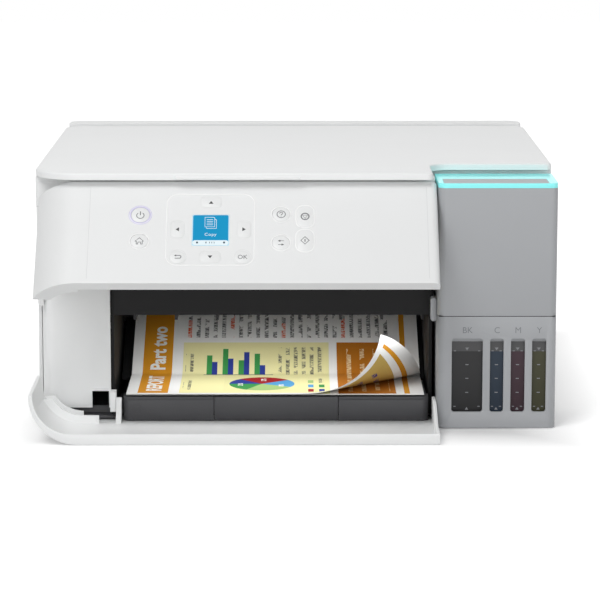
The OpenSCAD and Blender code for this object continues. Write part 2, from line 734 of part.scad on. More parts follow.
module scanner_glass() color("#6c7477") in_place()
  block([-169.8, 133.8], [70.2, 293.8], [glass_top - 3.9, glass_top - 1]);

module cis_bar() color(black) in_place() {
  block([-164, -146], [78, 292], [169, 175.4]);
  difference() {
    block([-166, -144], [sensor_d - 12, sensor_d + 12], [161.6, 171]);
    x_rod([-167, -143], sensor_d, sensor_z, 3.05);
  }
}

module cis_rod() color(steel) in_place() x_rod([-183.5, 183.5], sensor_d, sensor_z, 3);

// The lid's outline, with its notch round the ink unit
module lid_plan(inset = 0) difference() {
  round_rect([-hw + inset, hw - inset], [inset, lid_d - inset],
             [front_r - inset, 0, 12 - inset, 12 - inset]);
  round_rect([notch_x - inset, hw + 10], [-10, notch_d + inset], [0, 0, 0, 14]);
  translate([notch_x - inset, inset]) mirror([1, 0]) corner(4);
  translate([hw - inset, notch_d + inset]) mirror([1, 0]) corner(4);
}

module document_lid() color(white) in_place() {
  plate_z = lid_under + 2.2;
  edge_z = lid_top - 1.3;
  difference() {
    union() {
      translate([0, 0, lid_under]) linear_extrude(plate_z - lid_under + 0.1) difference() {
        lid_plan();
        lid_plan(6);
      }
      translate([0, 0, plate_z]) linear_extrude(edge_z - plate_z) lid_plan();
      translate([0, 0, edge_z - 0.1]) linear_extrude(0.8) lid_plan(1.2);
      translate([0, 0, edge_z + 0.6]) linear_extrude(lid_top - edge_z - 0.6) lid_plan(24);
      block([-85.3, 4], [-1.2, 3], [lid_under + 0.2, lid_under + 2.4]);
    }
    for (x = lid_hinge_x)
      block([x - 0.5, x + 4.5], [lid_d - 1.5, lid_d + 1], [lid_under - 1, lid_top + 1]);
  }
  for (x = lid_hinge_x, side = [-4.5, 4.5]) profile([x + side, x + side + 4]) union() {
    polygon([[lid_d - 1, lid_under + 0.4], [lid_d - 1, edge_z], [lid_hinge_d, lid_hinge_z + 2.6],
             [lid_hinge_d + 2, lid_hinge_z - 1.6], [lid_hinge_d - 1, lid_hinge_z - 0.2]]);
    translate([lid_hinge_d, lid_hinge_z]) circle(2.6);
  }
  for (x = lid_hinge_x) x_rod([x - 1, x + 5], lid_hinge_d, lid_hinge_z, 1.5);
}

module document_mat() color("#fbfbfb") in_place()
  slab([-172, 134], [66, 298], [glass_top + 0.2, lid_under + 2.2], [3, 3, 3, 3]);

// Rear paper feed

module rear_feed_cover() color(white) in_place() {
  low = feed_cover_z;
  top = lid_top - 0.5;
  front = scan_rear + 9.5;
  rear = body_d - 0.7;
  difference() {
    slab([-hw + 1, hw - 1], [front, rear], [low, top], [2, 2, rear_r - 2, rear_r - 2]);
    slab([-hw + 13, hw - 13], [front + 2, rear - 4.5], [low - 1, top - 2], [1, 1, 3, 3]);
    for (x = feed_hinge_x)
      block([x - 0.4, x + 4.4], [feed_hinge_d - 3.4, rear + 1], [low - 1, top - 3]);
  }
  for (x = feed_hinge_x) x_rod([x - 2, x + 6], feed_hinge_d, feed_hinge_z, 1);
}

// The hopper that holds the stack of blank paper
module sheet_feeder() color(black) in_place() {
  t = 2.4;
  profile([-141, 120]) polygon([slope_foot, slope_head, slope_head + [t, 0], slope_foot + [t, -2],
                                [286, 54.8], [262, 53], [262, 55.4], [285, 57.2]]);
  for (x = [-143.4, 119.9]) profile([x, x + 2.5]) difference() {
    polygon([[264, 50], [264, 58], [274, 87], [294, 93], [326, 144], [336, 154], [341, 170],
             [body_d - 3, 166], [body_d - 3, 50]]);
    translate([pickup_d, pickup_z]) circle(3.05);
  }
}

// A paper guide that stands on the hopper's slope
module edge_guide(x) color(dark) in_place() {
  foot = slope_foot + slope_n * 0.4;
  profile(x) polygon([foot + slope_u * 25, foot + slope_u * 85, foot + slope_u * 85 + slope_n * 13,
                      foot + slope_u * 40 + slope_n * 13]);
}

module left_edge_guide() edge_guide([-126.2, -123.2]);
module right_edge_guide() edge_guide([93.8, 96.8]);

module pickup_roller() color(black) in_place() {
  x_rod([-143, 122], pickup_d, pickup_z, 3);
  x_rod([-22, 22], pickup_d, pickup_z, 14);
}

// Print engine

// A toothed wheel, as a plain polygon that alternates between its root and its tip
module gear(x, d, z, tip, teeth, bore) {
  root = tip - 1.6;
  translate([x[0], d, z]) rotate([0, 90, 0]) linear_extrude(x[1] - x[0]) difference() {
    polygon([for (i = [0 : teeth - 1], k = [0 : 3])
      (k == 1 || k == 2 ? tip : root) * [cos(360 * (i + [0, 0.15, 0.4, 0.55][k]) / teeth),
                                         sin(360 * (i + [0, 0.15, 0.4, 0.55][k]) / teeth)]]);
    if (bore > 0) circle(bore);
  }
}

module carriage_rail() color(steel) in_place() {
  foot = 5.7;
  low = 62;
  top = 136;
  difference() {
    union() {
      block(engine_x, [rail_d, rail_d + 2], [low, top]);
      block(engine_x, [rail_d - 8, rail_d + 0.1], [top - 2, top]);
      block(engine_x, [rail_d + 1.9, rail_d + 12], [low, low + 2]);
      block([engine_x[0], engine_x[0] + 2], [ramp_end + 0.4, rail_d + 12], [foot, top]);
      block([engine_x[1] - 2, engine_x[1]], [166, rail_d + 12], [foot, top]);
      block([101, 103], [ramp_end + 0.4, rail_d + 2], [foot, 59.5]);
      block([101, 103], [rail_d - 2.4, rail_d + 2], [foot, low + 4]);
    }
    for (x = [engine_x[0], 101]) {
      x_rod([x - 1, x + 3], feed_d, roller_z, 4.05);
      x_rod([x - 1, x + 3], eject_d, roller_z, 3.05);
    }
    d_rod(motor_x, [rail_d - 1, rail_d + 3], belt_z, 3.3);
  }
  x_rod([engine_x[0] + 1, engine_x[1] - 1], rod_d, rod_z, 4);
  x_rod([gear_x[0], engine_x[0] + 1], idler_d, roller_z, 2);
  d_rod(idler_x, [208.5, rail_d + 0.1], belt_z, 3.8);
}

module carriage() color(dark) in_place() {
  x = [home_x - 30, home_x + 30];
  difference() {
    union() {
      block(x, [166, 213], [61.2, 118]);
      block([x[0] + 6, x[1] - 6], [163.6, 166.1], [70, 108]);
      block([home_x - 18, home_x + 18], [172, 196], [60.3, 61.3]);
      block([home_x - 6, home_x + 6], [208.6, 214.6], [117.9, 120.5]);
    }
    x_rod([x[0] - 1, x[1] + 1], rod_d, rod_z, 4.05);
    for (i = [0 : 3]) block([x[0] + 4 + 13.4 * i, x[0] + 15.6 + 13.4 * i], [170, 196], [110, 119]);
  }
}

module timing_belt() color(black) in_place() difference() {
  face_plate([idler_x - 5, motor_x + 5], [belt_z - 5, belt_z + 5], [209, 214], 5);
  face_plate([idler_x - 4, motor_x + 4], [belt_z - 4, belt_z + 4], [208, 215], 4);
}

module carriage_motor() color(steel) in_place() {
  d_rod(motor_x, [rail_d + 2, rail_d + 32], belt_z, 12);
  d_rod(motor_x, [208.5, rail_d + 3], belt_z, 3);
  d_rod(motor_x, [208.5, 214.5], belt_z, 3.9);
}

module feed_roller() color(steel) in_place() {
  x_rod([-166, 98], feed_d, roller_z, 5);
  x_rod([gear_x[0], 106], feed_d, roller_z, 4);
  gear(gear_x, feed_d, roller_z, 14.2, 28, 0);
}

module eject_roller() color(black) in_place() {
  x_rod([gear_x[0], 106], eject_d, roller_z, 3);
  for (x = [-116 : 34 : 88]) x_rod([x, x + 8], eject_d, roller_z, 5);
  gear(gear_x, eject_d, roller_z, 14.2, 28, 0);
}

module drive_gear() color("#e6e2d6") in_place()
  gear(gear_x, idler_d, roller_z, 9.9, 20, 2.05);

module platen() color(black) in_place() {
  block([-130, 98], [163, 198], [46, 54]);
  for (x = [-126 : 12 : 92]) block([x, x + 2], [164, 197], [53.9, 57.9]);
  for (x = [-128, 92]) block([x, x + 4], [166, 195], [5.7, 46.1]);
}

module capping_station() color(dark) in_place() difference() {
  union() {
    block([108, 162], [168, 212], [5.7, 52]);
    block([home_x - 20, home_x + 20], [170, 198], [51.9, 59.4]);
  }
  block([home_x - 18, home_x + 18], [172, 196], [54, 60]);
  for (x = [112, 150]) block([x, x + 8], [202, 209], [44, 53]);
}

// Electronics

module mainboard() color("#2f6b47") in_place() {
  block([-178, -176.4], [236, 336], [18, 118]);
  for (d = [244, 280, 312], z = [30, 70]) block([-176.5, -172], [d, d + 18], [z, z + 22]);
  for (d = [250 : 22 : 320]) x_rod([-176.5, -166], d, 106, 4);
  for (z = [22, 112]) block([-185, -177.9], [284, 288], [z, z + 4]);
}

module power_supply() color(steel) in_place() difference() {
  block([126, 180], [236, 322], [5.7, 58]);
  for (d = [246 : 10 : 306]) block([125, 127.5], [d, d + 5], [20, 46]);
}

module rear_sockets() color(black) in_place() {
  gap = 0.2;
  difference() {
    block([inlet_x[0] + gap, inlet_x[1] - gap], [324, body_d - 0.5], [inlet_z[0] + gap, inlet_z[1] - gap]);
    block([inlet_x[0] + 5, inlet_x[1] - 5], [330, body_d], [inlet_z[0] + 6, inlet_z[1] - 6]);
  }
  for (x = [-5, 5]) d_rod((inlet_x[0] + inlet_x[1]) / 2 + x, [329, 340], 33, 1.2);
  difference() {
    block([usb_x[0] + gap, usb_x[1] - gap], [330, body_d - 0.5], [usb_z[0] + gap, usb_z[1] - gap]);
    block([usb_x[0] + 2, usb_x[1] - 2], [335, body_d], [usb_z[0] + 2.5, usb_z[1] - 2.5]);
  }
  block([usb_x[0] + 5, usb_x[1] - 5], [334, 343], [31, 33]);
}

base_pan();
rubber_feet();
left_side_cover();
right_side_cover();
rear_cover();
front_frame();
output_bay();
exit_ramp();
front_cover();
output_tray();
tray_extension();
printed_pages();
control_panel();
panel_back();
lcd_screen();
power_button();
home_button();
help_button();
page_button();
stop_button();
start_button();
arrow_keys();
back_key();
ok_key();
tank_case();
tank_cover();
led_light_guide();
ink_tank_black();
ink_tank_cyan();
ink_tank_magenta();
ink_tank_yellow();
ink_cap_black();
ink_cap_cyan();
ink_cap_magenta();
ink_cap_yellow();
ink_tubes();
scanner_base();
scanner_top_frame();
scanner_glass();
cis_bar();
cis_rod();
document_lid();
document_mat();
rear_feed_cover();
sheet_feeder();
left_edge_guide();
right_edge_guide();
pickup_roller();
carriage_rail();
carriage();
timing_belt();
carriage_motor();
feed_roller();
eject_roller();
drive_gear();
platen();
capping_station();
mainboard();
power_supply();
rear_sockets();
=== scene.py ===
import bpy
import json
import math
from mathutils import Matrix, Vector


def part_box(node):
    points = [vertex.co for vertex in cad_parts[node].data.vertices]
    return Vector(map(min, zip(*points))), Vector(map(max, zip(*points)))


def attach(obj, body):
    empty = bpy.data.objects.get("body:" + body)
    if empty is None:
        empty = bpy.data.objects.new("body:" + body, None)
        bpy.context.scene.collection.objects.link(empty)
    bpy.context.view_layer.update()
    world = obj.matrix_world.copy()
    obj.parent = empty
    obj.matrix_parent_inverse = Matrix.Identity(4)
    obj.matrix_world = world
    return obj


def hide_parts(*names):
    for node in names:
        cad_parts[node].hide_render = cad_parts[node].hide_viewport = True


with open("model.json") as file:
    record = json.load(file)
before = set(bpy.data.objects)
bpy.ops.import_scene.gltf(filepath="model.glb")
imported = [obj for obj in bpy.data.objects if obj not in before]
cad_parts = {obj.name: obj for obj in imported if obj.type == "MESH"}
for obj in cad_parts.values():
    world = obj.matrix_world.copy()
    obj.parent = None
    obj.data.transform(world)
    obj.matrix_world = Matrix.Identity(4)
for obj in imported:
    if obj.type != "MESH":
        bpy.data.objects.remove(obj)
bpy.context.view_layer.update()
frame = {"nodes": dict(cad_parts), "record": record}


# Camera and lamps. A long lens 2.1 m in front looks down by ten degrees. Large soft lamps give
# even studio light, and a small one that faces down lights the pages inside the paper outlet.
FOCAL_PIXELS = 2766.2
FRAME_PIXELS = 600
SENSOR_MM = 36
CAMERA_PLACE = (-0.00236, -2.09912, 0.4305)
CAMERA_TURN = (math.radians(90 - 9.7676), 0, math.radians(-0.16478))
STUDIO_LAMPS = (("key lamp", (-0.75, -1.2, 1.85), (1.0, 1.0), 20),
                ("fill lamp", (1.1, -1.6, 1.0), (1.2, 1.2), 6.5),
                ("low lamp", (-0.3, -2.3, 0.5), (0.8, 0.8), 4),
                ("top lamp", (0.0, -0.35, 1.8), (0.7, 0.7), 1),
                ("back lamp", (0.2, 1.8, 1.2), (1.6, 1.6), 2.5))
OUTLET_LAMP = ("paper outlet lamp", (-0.015, -0.105, 0.0775), (0.21, 0.045), 0.09)
LAMP_TARGET = Vector((0, 0, 0.1))


def deselect_all():
    for thing in bpy.context.selected_objects:
        thing.select_set(False)


deselect_all()
bpy.ops.object.camera_add(location=CAMERA_PLACE, rotation=CAMERA_TURN)
camera = bpy.context.object
camera.data.sensor_width = SENSOR_MM
camera.data.lens = SENSOR_MM * FOCAL_PIXELS / FRAME_PIXELS
bpy.context.scene.camera = camera
bpy.context.scene.view_settings.view_transform = "Standard"
for name, place, (width, height), power in (*STUDIO_LAMPS, OUTLET_LAMP):
    bpy.ops.object.light_add(type="AREA", location=place)
    lamp = bpy.context.object
    lamp.name = name
    lamp.data.shape = "RECTANGLE"
    lamp.data.size, lamp.data.size_y = width, height
    lamp.data.energy = power
    if name != OUTLET_LAMP[0]:
        aim = LAMP_TARGET - Vector(place)
        lamp.rotation_euler = aim.to_track_quat("-Z", "Y").to_euler()


# White surround and floor. What the camera sees directly or in a gloss is plain white, and
# the floor still takes the printer's soft shadow.
def linear(colour, alpha=1):
    """An sRGB hex colour as linear values."""
    parts = [int(colour[i:i + 2], 16) / 255 for i in (1, 3, 5)]
    return [p / 12.92 if p <= 0.04045 else ((p + 0.055) / 1.055) ** 2.4 for p in parts] + [alpha]


def add_node(tree, kind, settings, links):
    """Adds a node. A setting is an input's name or number, or one of the node's properties."""
    made = tree.nodes.new(kind)
    for name, value in settings.items():
        if isinstance(name, int) or name in made.inputs:
            made.inputs[name].default_value = value
        else:
            setattr(made, name, value)
    for name, source in links.items():
        tree.links.new(source, made.inputs[name])
    return made


def set_or_link(tree, socket, value):
    """Gives an input a number or colour, or joins another node's output to it."""
    if isinstance(value, bpy.types.NodeSocket):
        tree.links.new(value, socket)
    else:
        socket.default_value = value


def maths(tree, operation, *values):
    """A maths node's result. Each value is a number or an output."""
    made = tree.nodes.new("ShaderNodeMath")
    made.operation = operation
    for socket, value in zip(made.inputs, values):
        set_or_link(tree, socket, value)
    return made.outputs[0]


def blend(tree, share, first, second):
    """A colour between two, which are linear values or outputs."""
    made = tree.nodes.new("ShaderNodeMix")
    made.data_type = "RGBA"
    for socket, value in ((0, share), (6, first), (7, second)):
        set_or_link(tree, made.inputs[socket], value)
    return made.outputs[2]


def noise(tree, place, settings):
    """The values of a noise texture at a place."""
    return add_node(tree, "ShaderNodeTexNoise", settings, {"Vector": place}).outputs["Fac"]


def new_material(name, settings):
    """A material with its node tree and its shader, whose inputs are given by name."""
    material = bpy.data.materials.new(name)
    material.use_nodes = True
    surface = material.node_tree.nodes["Principled BSDF"]
    for setting, value in settings.items():
        surface.inputs[setting].default_value = value
    return material, material.node_tree, surface


def object_place(tree):
    return add_node(tree, "ShaderNodeTexCoord", {}, {}).outputs["Object"]


def split(tree, vector):
    """The X, Y and Z of a vector."""
    return add_node(tree, "ShaderNodeSeparateXYZ", {}, {"Vector": vector}).outputs


def seen_directly(tree):
    """1 for a ray from the camera, from a gloss or through glass, and 0 for any other."""
    rays = add_node(tree, "ShaderNodeLightPath", {}, {}).outputs
    direct = maths(tree, "MAXIMUM", rays["Is Camera Ray"], rays["Is Glossy Ray"])
    return maths(tree, "MAXIMUM", direct, rays["Is Transmission Ray"])


WORLD_LIGHT = 0.3
FLOOR_GLOW = 0.75
FLOOR_GREY = 0.9
FLOOR_SIDE = 8
FOOTPRINT = (0.195, 0.2)
# how far out from the middle the glow begins and is full, as shares of the footprint
GLOW_START, GLOW_FULL = 0.8, 1.3
world = bpy.data.worlds.new("white surround")
bpy.context.scene.world = world
world.use_nodes = True
tree = world.node_tree
sky = tree.nodes["Background"]
sky.inputs["Color"].default_value = (1, 1, 1, 1)
strength = maths(tree, "MULTIPLY_ADD", seen_directly(tree), 1 - WORLD_LIGHT, WORLD_LIGHT)
tree.links.new(strength, sky.inputs["Strength"])

floor_paint, tree, surface = new_material(
    "white studio floor", {"Base Color": (FLOOR_GREY, FLOOR_GREY, FLOOR_GREY, 1), "Roughness": 1,
                           "Specular IOR Level": 0, "Emission Color": (1, 1, 1, 1)})
spread = add_node(tree, "ShaderNodeVectorMath", {"operation": "DIVIDE", 1: (*FOOTPRINT, 1)},
                  {0: object_place(tree)})
size = add_node(tree, "ShaderNodeVectorMath", {"operation": "ABSOLUTE"}, {0: spread.outputs[0]})
sides = split(tree, size.outputs[0])
# no glow comes from under the printer, so that its own shadow stays dark there
open_floor = add_node(tree, "ShaderNodeMapRange",
                      {"From Min": GLOW_START, "From Max": GLOW_FULL, "To Max": FLOOR_GLOW},
                      {"Value": maths(tree, "MAXIMUM", sides["X"], sides["Y"])})
glow = maths(tree, "MULTIPLY", seen_directly(tree), open_floor.outputs[0])
tree.links.new(glow, surface.inputs["Emission Strength"])

deselect_all()
bpy.ops.mesh.primitive_plane_add(size=FLOOR_SIDE, location=(0, 0, 0))
floor = bpy.context.object
floor.name = "floor"
floor.data.materials.append(floor_paint)


# Injection-moulded covers of white ABS. The mould is spark-eroded, so the surface is satin
# with a fine grain, and every outer edge has a small radius. They clip and screw together.
MM = 0.001
# edges that turn by more than this, in degrees, are rounded or kept crisp
SHARP = 35
# faces that turn by less than this, in degrees, are one flat face
FLAT = 0.5
# corners closer than this, in metres, are one corner
SAME_PLACE = 0.00001
body_of = {node: body for body, nodes in frame["record"]["behaviour"]["bodies"].items()
           for node in nodes}


def grained(tree, surface, texture, roughness, spread, strength, relief):
    """Makes roughness and relief follow a texture, within spread and up to relief millimetres."""
    gloss = add_node(tree, "ShaderNodeMapRange",
                     {"To Min": roughness - spread, "To Max": roughness + spread},
                     {"Value": texture})
    tree.links.new(gloss.outputs[0], surface.inputs["Roughness"])
    bump = add_node(tree, "ShaderNodeBump", {"Strength": strength, "Distance": relief * MM},
                    {"Height": texture})
    tree.links.new(bump.outputs[0], surface.inputs["Normal"])


def moulded_plastic(name, colour, roughness, grain, relief, tone=0.02):
    """Moulded plastic with a grain and relief in millimetres and a slight drift in tone."""
    material, tree, surface = new_material(name, {"IOR": 1.5})
    place = object_place(tree)
    full = linear(colour)
    darker = [value * (1 - tone) for value in full[:3]] + [1]
    drift = noise(tree, place, {"Scale": 14, "Detail": 2})
    tree.links.new(blend(tree, drift, full, darker), surface.inputs["Base Color"])
    erosion = noise(tree, place, {"Scale": 1 / (grain * MM), "Detail": 3})
    grained(tree, surface, erosion, roughness, 0.04, 0.5, relief)
    return material


def make_active(piece):
    """Adds a new object to the scene, as the only one selected."""
    deselect_all()
    bpy.context.collection.objects.link(piece)
    piece.select_set(True)
    bpy.context.view_layer.objects.active = piece


def to_mode(mode):
    """Enters edit mode or object mode."""
    bpy.ops.object.mode_set(mode=mode)


def round_edges(piece, edge):
    """Rounds the sharp edges of the active piece."""
    rounding = piece.modifiers.new("rounded edges", "BEVEL")
    rounding.width = edge * MM
    rounding.segments = 2
    rounding.limit_method = "ANGLE"
    rounding.angle_limit = math.radians(SHARP)
    bpy.ops.object.modifier_apply(modifier=rounding.name)


def moulding(node, material, edge=0.5):
    """The node's own solid with its edges rounded, which stands for the node."""
    mesh = frame["nodes"][node].data.copy()
    piece = bpy.data.objects.new(node + ".moulding", mesh)
    make_active(piece)
    mesh.materials.clear()
    mesh.materials.append(material)
    bpy.ops.mesh.customdata_custom_splitnormals_clear()
    to_mode("EDIT")
    bpy.ops.mesh.select_all(action="SELECT")
    bpy.ops.mesh.remove_doubles(threshold=SAME_PLACE)
    bpy.ops.mesh.dissolve_limited(angle_limit=math.radians(FLAT))
    to_mode("OBJECT")
    if edge:
        round_edges(piece, edge)
    bpy.ops.object.shade_smooth_by_angle(angle=math.radians(SHARP))
    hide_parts(node)
    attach(piece, body_of[node])
    return piece


def finish(node, material):
    """Gives the node itself a material."""
    mesh = frame["nodes"][node].data
    mesh.materials.clear()
    mesh.materials.append(material)


# satin white, with a grain that the eye only sees as softness
white_abs = moulded_plastic("white ABS, spark-eroded", "#f3f4f4", 0.42, 0.9, 0.02)
for node in ("left_side_cover", "right_side_cover", "rear_cover", "front_frame", "front_cover",
             "scanner_base", "scanner_top_frame", "rear_feed_cover"):
    moulding(node, white_abs)


# Base pan of dark ABS and four rubber feet. The pan carries everything, and its rim shows as a
# dark line round the foot of the covers.
dark_abs = moulded_plastic("dark grey ABS, leather-grained", "#4a4a4d", 0.5, 1.3, 0.12, 0.08)
for node in ("base_pan", "left_edge_guide", "right_edge_guide", "carriage", "capping_station"):
    moulding(node, dark_abs, edge=0.4)

# moulded feet with a faint sheen
rubber = moulded_plastic("black rubber, moulded", "#222224", 0.8, 0.6, 0.03)
moulding("rubber_feet", rubber, edge=0.8)


# Liner of the paper outlet, exit ramp, platen and paper hopper, of black ABS. They are left
# matte so that the inside looks dark.
black_abs = moulded_plastic("black ABS, matte", "#131314", 0.62, 1.1, 0.05, 0.1)
black_abs.node_tree.nodes["Principled BSDF"].inputs["Specular IOR Level"].default_value = 0.25
for node in ("output_bay", "exit_ramp", "sheet_feeder", "platen", "cis_bar", "rear_sockets"):
    moulding(node, black_abs, edge=0.35)


# Print engine. The rail is folded from zinc-plated sheet, the rods and the feed roller are
# ground steel, and the rollers' tyres and the belt are rubber.
def brushed_metal(name, colour, roughness, along, line):
    """Metal with fine lines that run along one axis, line millimetres apart."""
    material, tree, surface = new_material(name, {"Metallic": 1, "Base Color": linear(colour)})
    scale = [1 / (line * MM)] * 3
    scale[along] /= 60
    lines = add_node(tree, "ShaderNodeMapping", {"Scale": scale}, {"Vector": object_place(tree)})
    brushing = noise(tree, lines.outputs[0], {"Scale": 1, "Detail": 2})
    grained(tree, surface, brushing, roughness, 0.07, 0.4, 0.01)
    return material


zinc_plate = brushed_metal("zinc-plated sheet, rolled", "#b9bdc0", 0.38, 0, 0.6)
for node in ("carriage_rail", "power_supply"):
    moulding(node, zinc_plate, edge=0.2)
ground_steel = brushed_metal("ground steel", "#c4c6c8", 0.25, 1, 0.3)
for node in ("feed_roller", "cis_rod", "carriage_motor"):
    moulding(node, ground_steel, edge=0.25)
for node in ("timing_belt", "pickup_roller", "eject_roller"):
    moulding(node, rubber, edge=0.2)
acetal = moulded_plastic("natural acetal, moulded", "#e6e2d6", 0.35, 0.7, 0.01)
moulding("drive_gear", acetal, edge=0.15)


# Main board. Green solder mask over fields of copper, with darker lines where the board
# between them shows.
solder_mask, tree, surface = new_material("green solder mask over copper",
                                          {"Roughness": 0.3, "Coat Weight": 0.5})
tracks = add_node(tree, "ShaderNodeTexBrick",
                  {"Scale": 60, "Color1": linear("#2f6b47"), "Color2": linear("#357550"),
                   "Mortar": linear("#1f4f33"), "Mortar Size": 0.06},
                  {"Vector": object_place(tree)})
tree.links.new(tracks.outputs["Color"], surface.inputs["Base Color"])
finish("mainboard", solder_mask)


# Output tray and its extension, of dark ABS with a coarse leather grain on the front. A small
# square marks where to pull the tray, and a groove runs under the front's top edge.
tray_abs = moulded_plastic("charcoal ABS, coarse grain", "#414144", 0.46, 1.0, 0.25, 0.1)
moulding("output_tray", tray_abs, edge=0.9)
moulding("tray_extension", tray_abs, edge=0.5)

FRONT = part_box("tank_case")[0].y


def at(x, depth, height):
    """A place given in millimetres, with its depth behind the closed front face."""
    return Vector((x * MM, FRONT + depth * MM, height * MM))


def tube(name, points, thickness, material, flat, closed=False):
    """A thin bead along the points, pressed flat across Y."""
    line = bpy.data.curves.new(name, "CURVE")
    line.dimensions = "3D"
    line.bevel_depth = thickness / 2 * MM
    line.bevel_resolution = 1
    line.use_fill_caps = True
    spline = line.splines.new("POLY")
    spline.points.add(len(points) - 1)
    for point, place in zip(spline.points, points):
        point.co = (*place, 1)
    spline.use_cyclic_u = closed
    piece = bpy.data.objects.new(name, line)
    make_active(piece)
    bpy.ops.object.convert(target="MESH")
    middle = points[0].y
    for vertex in piece.data.vertices:
        vertex.co.y = middle + (vertex.co.y - middle) * flat
    piece.data.materials.clear()
    piece.data.materials.append(material)
    return piece


def rounded_outline(x, z, radius, depth, steps=6):
    """Points round an upright rectangle with rounded corners, in millimetres."""
    points = []
    for corner_x, corner_z, start in ((x[1] - radius, z[1] - radius, 0),
                                      (x[0] + radius, z[1] - radius, 90),
                                      (x[0] + radius, z[0] + radius, 180),
                                      (x[1] - radius, z[0] + radius, 270)):
        for step in range(steps + 1):
            turn = math.radians(start + 90 * step / steps)
            points.append(at(corner_x + radius * math.cos(turn), depth,
                             corner_z + radius * math.sin(turn)))
    return points


# depth of the tray's front, and the middle of the mark on it as x and height
TRAY_FACE = 12
TRAY_MARK = (-115.2, 12.2)
MARK_LINE = 0.5
for name, size, radius in (("tray_mark.outer", 7.0, 1.4), ("tray_mark.inner", 3.6, 0.8)):
    x, z = [(middle - size / 2, middle + size / 2) for middle in TRAY_MARK]
    mark = tube(name, rounded_outline(x, z, radius, TRAY_FACE), MARK_LINE, tray_abs, flat=0.5,
                closed=True)
    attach(mark, "tray")


# Ink unit. A grey ABS case and cover hold four translucent tanks, which show the ink's level
# through windows with fill marks. A clear acrylic light guide glows round the cover's top.
grey_abs = moulded_plastic("grey ABS, spark-eroded", "#a9abae", 0.42, 0.9, 0.03)
moulding("tank_case", grey_abs, edge=0.6)
moulding("tank_cover", grey_abs, edge=0.6)

# heights of the ink's surface and of the tanks' floors. Each ink has its colour in the tank, the
# left and right side of its window, and its letters.
LEVEL = 56.3
TANK_FLOOR = 12
INKS = (("black", "#303031", (112.4, 134.7), "BK"), ("cyan", "#2c3846", (139.9, 149.7), "C"),
        ("magenta", "#412e36", (154.9, 165.0), "M"), ("yellow", "#44432f", (170.1, 180.3), "Y"))


def filled_tank(colour_name, ink):
    """Smoky polypropylene: the ink's colour up to its level, and grey above it."""
    material, tree, surface = new_material("smoky polypropylene over " + colour_name + " ink",
                                           {"Roughness": 0.28, "Specular IOR Level": 0.25})
    height = split(tree, object_place(tree))["Z"]
    rise = add_node(tree, "ShaderNodeMapRange",
                    {"From Min": TANK_FLOOR * MM, "From Max": LEVEL * MM, "To Max": 0.9},
                    {"Value": height})
    deep = [value * 0.85 for value in linear(ink)[:3]] + [1]
    wet = blend(tree, rise.outputs[0], deep, linear(ink))
    above = maths(tree, "GREATER_THAN", height, LEVEL * MM)
    tree.links.new(blend(tree, above, wet, linear("#525253")), surface.inputs["Base Color"])
    return material


# marks moulded on the tanks, a little paler than the plastic
mark_white = moulded_plastic("tank fill marks", "#85868a", 0.4, 0.9, 0.01)
# letters printed on the case, a little darker than it
letter_grey = moulded_plastic("pad-printed grey letters", "#7d8083", 0.45, 0.9, 0.01)
TANK_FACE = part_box("ink_tank_black")[0].y
MARK_DEPTH = (TANK_FACE - FRONT) / MM - 0.08
DASH_HALF_HEIGHT = 0.3
SKIN = 0.1
# a capital's height as a share of the font's size
CAPITAL = 0.69


def flat_shape(name, corners, material, thickness=SKIN):
    """A thin upright plate with these corners, given as x, depth and height."""
    mesh = bpy.data.meshes.new(name)
    mesh.from_pydata([tuple(at(*corner)) for corner in corners], [], [range(len(corners))])
    piece = bpy.data.objects.new(name, mesh)
    make_active(piece)
    to_mode("EDIT")
    bpy.ops.mesh.select_all(action="SELECT")
    bpy.ops.mesh.extrude_region_move(TRANSFORM_OT_translate={"value": (0, thickness * MM, 0)})
    bpy.ops.mesh.select_all(action="SELECT")
    bpy.ops.mesh.normals_make_consistent(inside=False)
    to_mode("OBJECT")
    mesh.materials.append(material)
    return piece


def set_type(name, words, size, material, settings):
    """Words that lie flat, as a mesh, with capitals of that size."""
    deselect_all()
    bpy.ops.object.text_add()
    piece = bpy.context.object
    piece.name = name
    piece.data.body = words
    piece.data.size = size / CAPITAL
    piece.data.resolution_u = 4
    for setting, value in settings.items():
        setattr(piece.data, setting, value)
    bpy.ops.object.convert(target="MESH")
    piece.data.materials.clear()
    piece.data.materials.append(material)
    return piece


def lettering(name, words, x, depth, height, size, material, thickness=SKIN, spacing=1.0):
    """Upright letters centred on x, with their foot at height and capitals of that size."""
    piece = set_type(name, words, size * MM, material,
                     {"align_x": "CENTER", "space_character": spacing,
                      "extrude": thickness / 2 * MM})
    piece.data.transform(Matrix.Translation(at(x, depth, height))
                         @ Matrix.Rotation(math.radians(90), 4, "X"))
    return piece


def tank_mark(name, corners):
    """A raised mark on the tanks' fronts, with its corners given as x and height."""
    places = [(x, MARK_DEPTH, height) for x, height in corners]
    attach(flat_shape(name, places, mark_white), "chassis")


def dash(name, x, height, width):
    left, right = x - width / 2, x + width / 2
    foot, head = height - DASH_HALF_HEIGHT, height + DASH_HALF_HEIGHT
    tank_mark(name, ((left, foot), (right, foot), (right, head), (left, head)))


def pointer(name, x, height, half, tip):
    tank_mark(name, ((x - half, height), (x + half, height), (x, height + tip)))


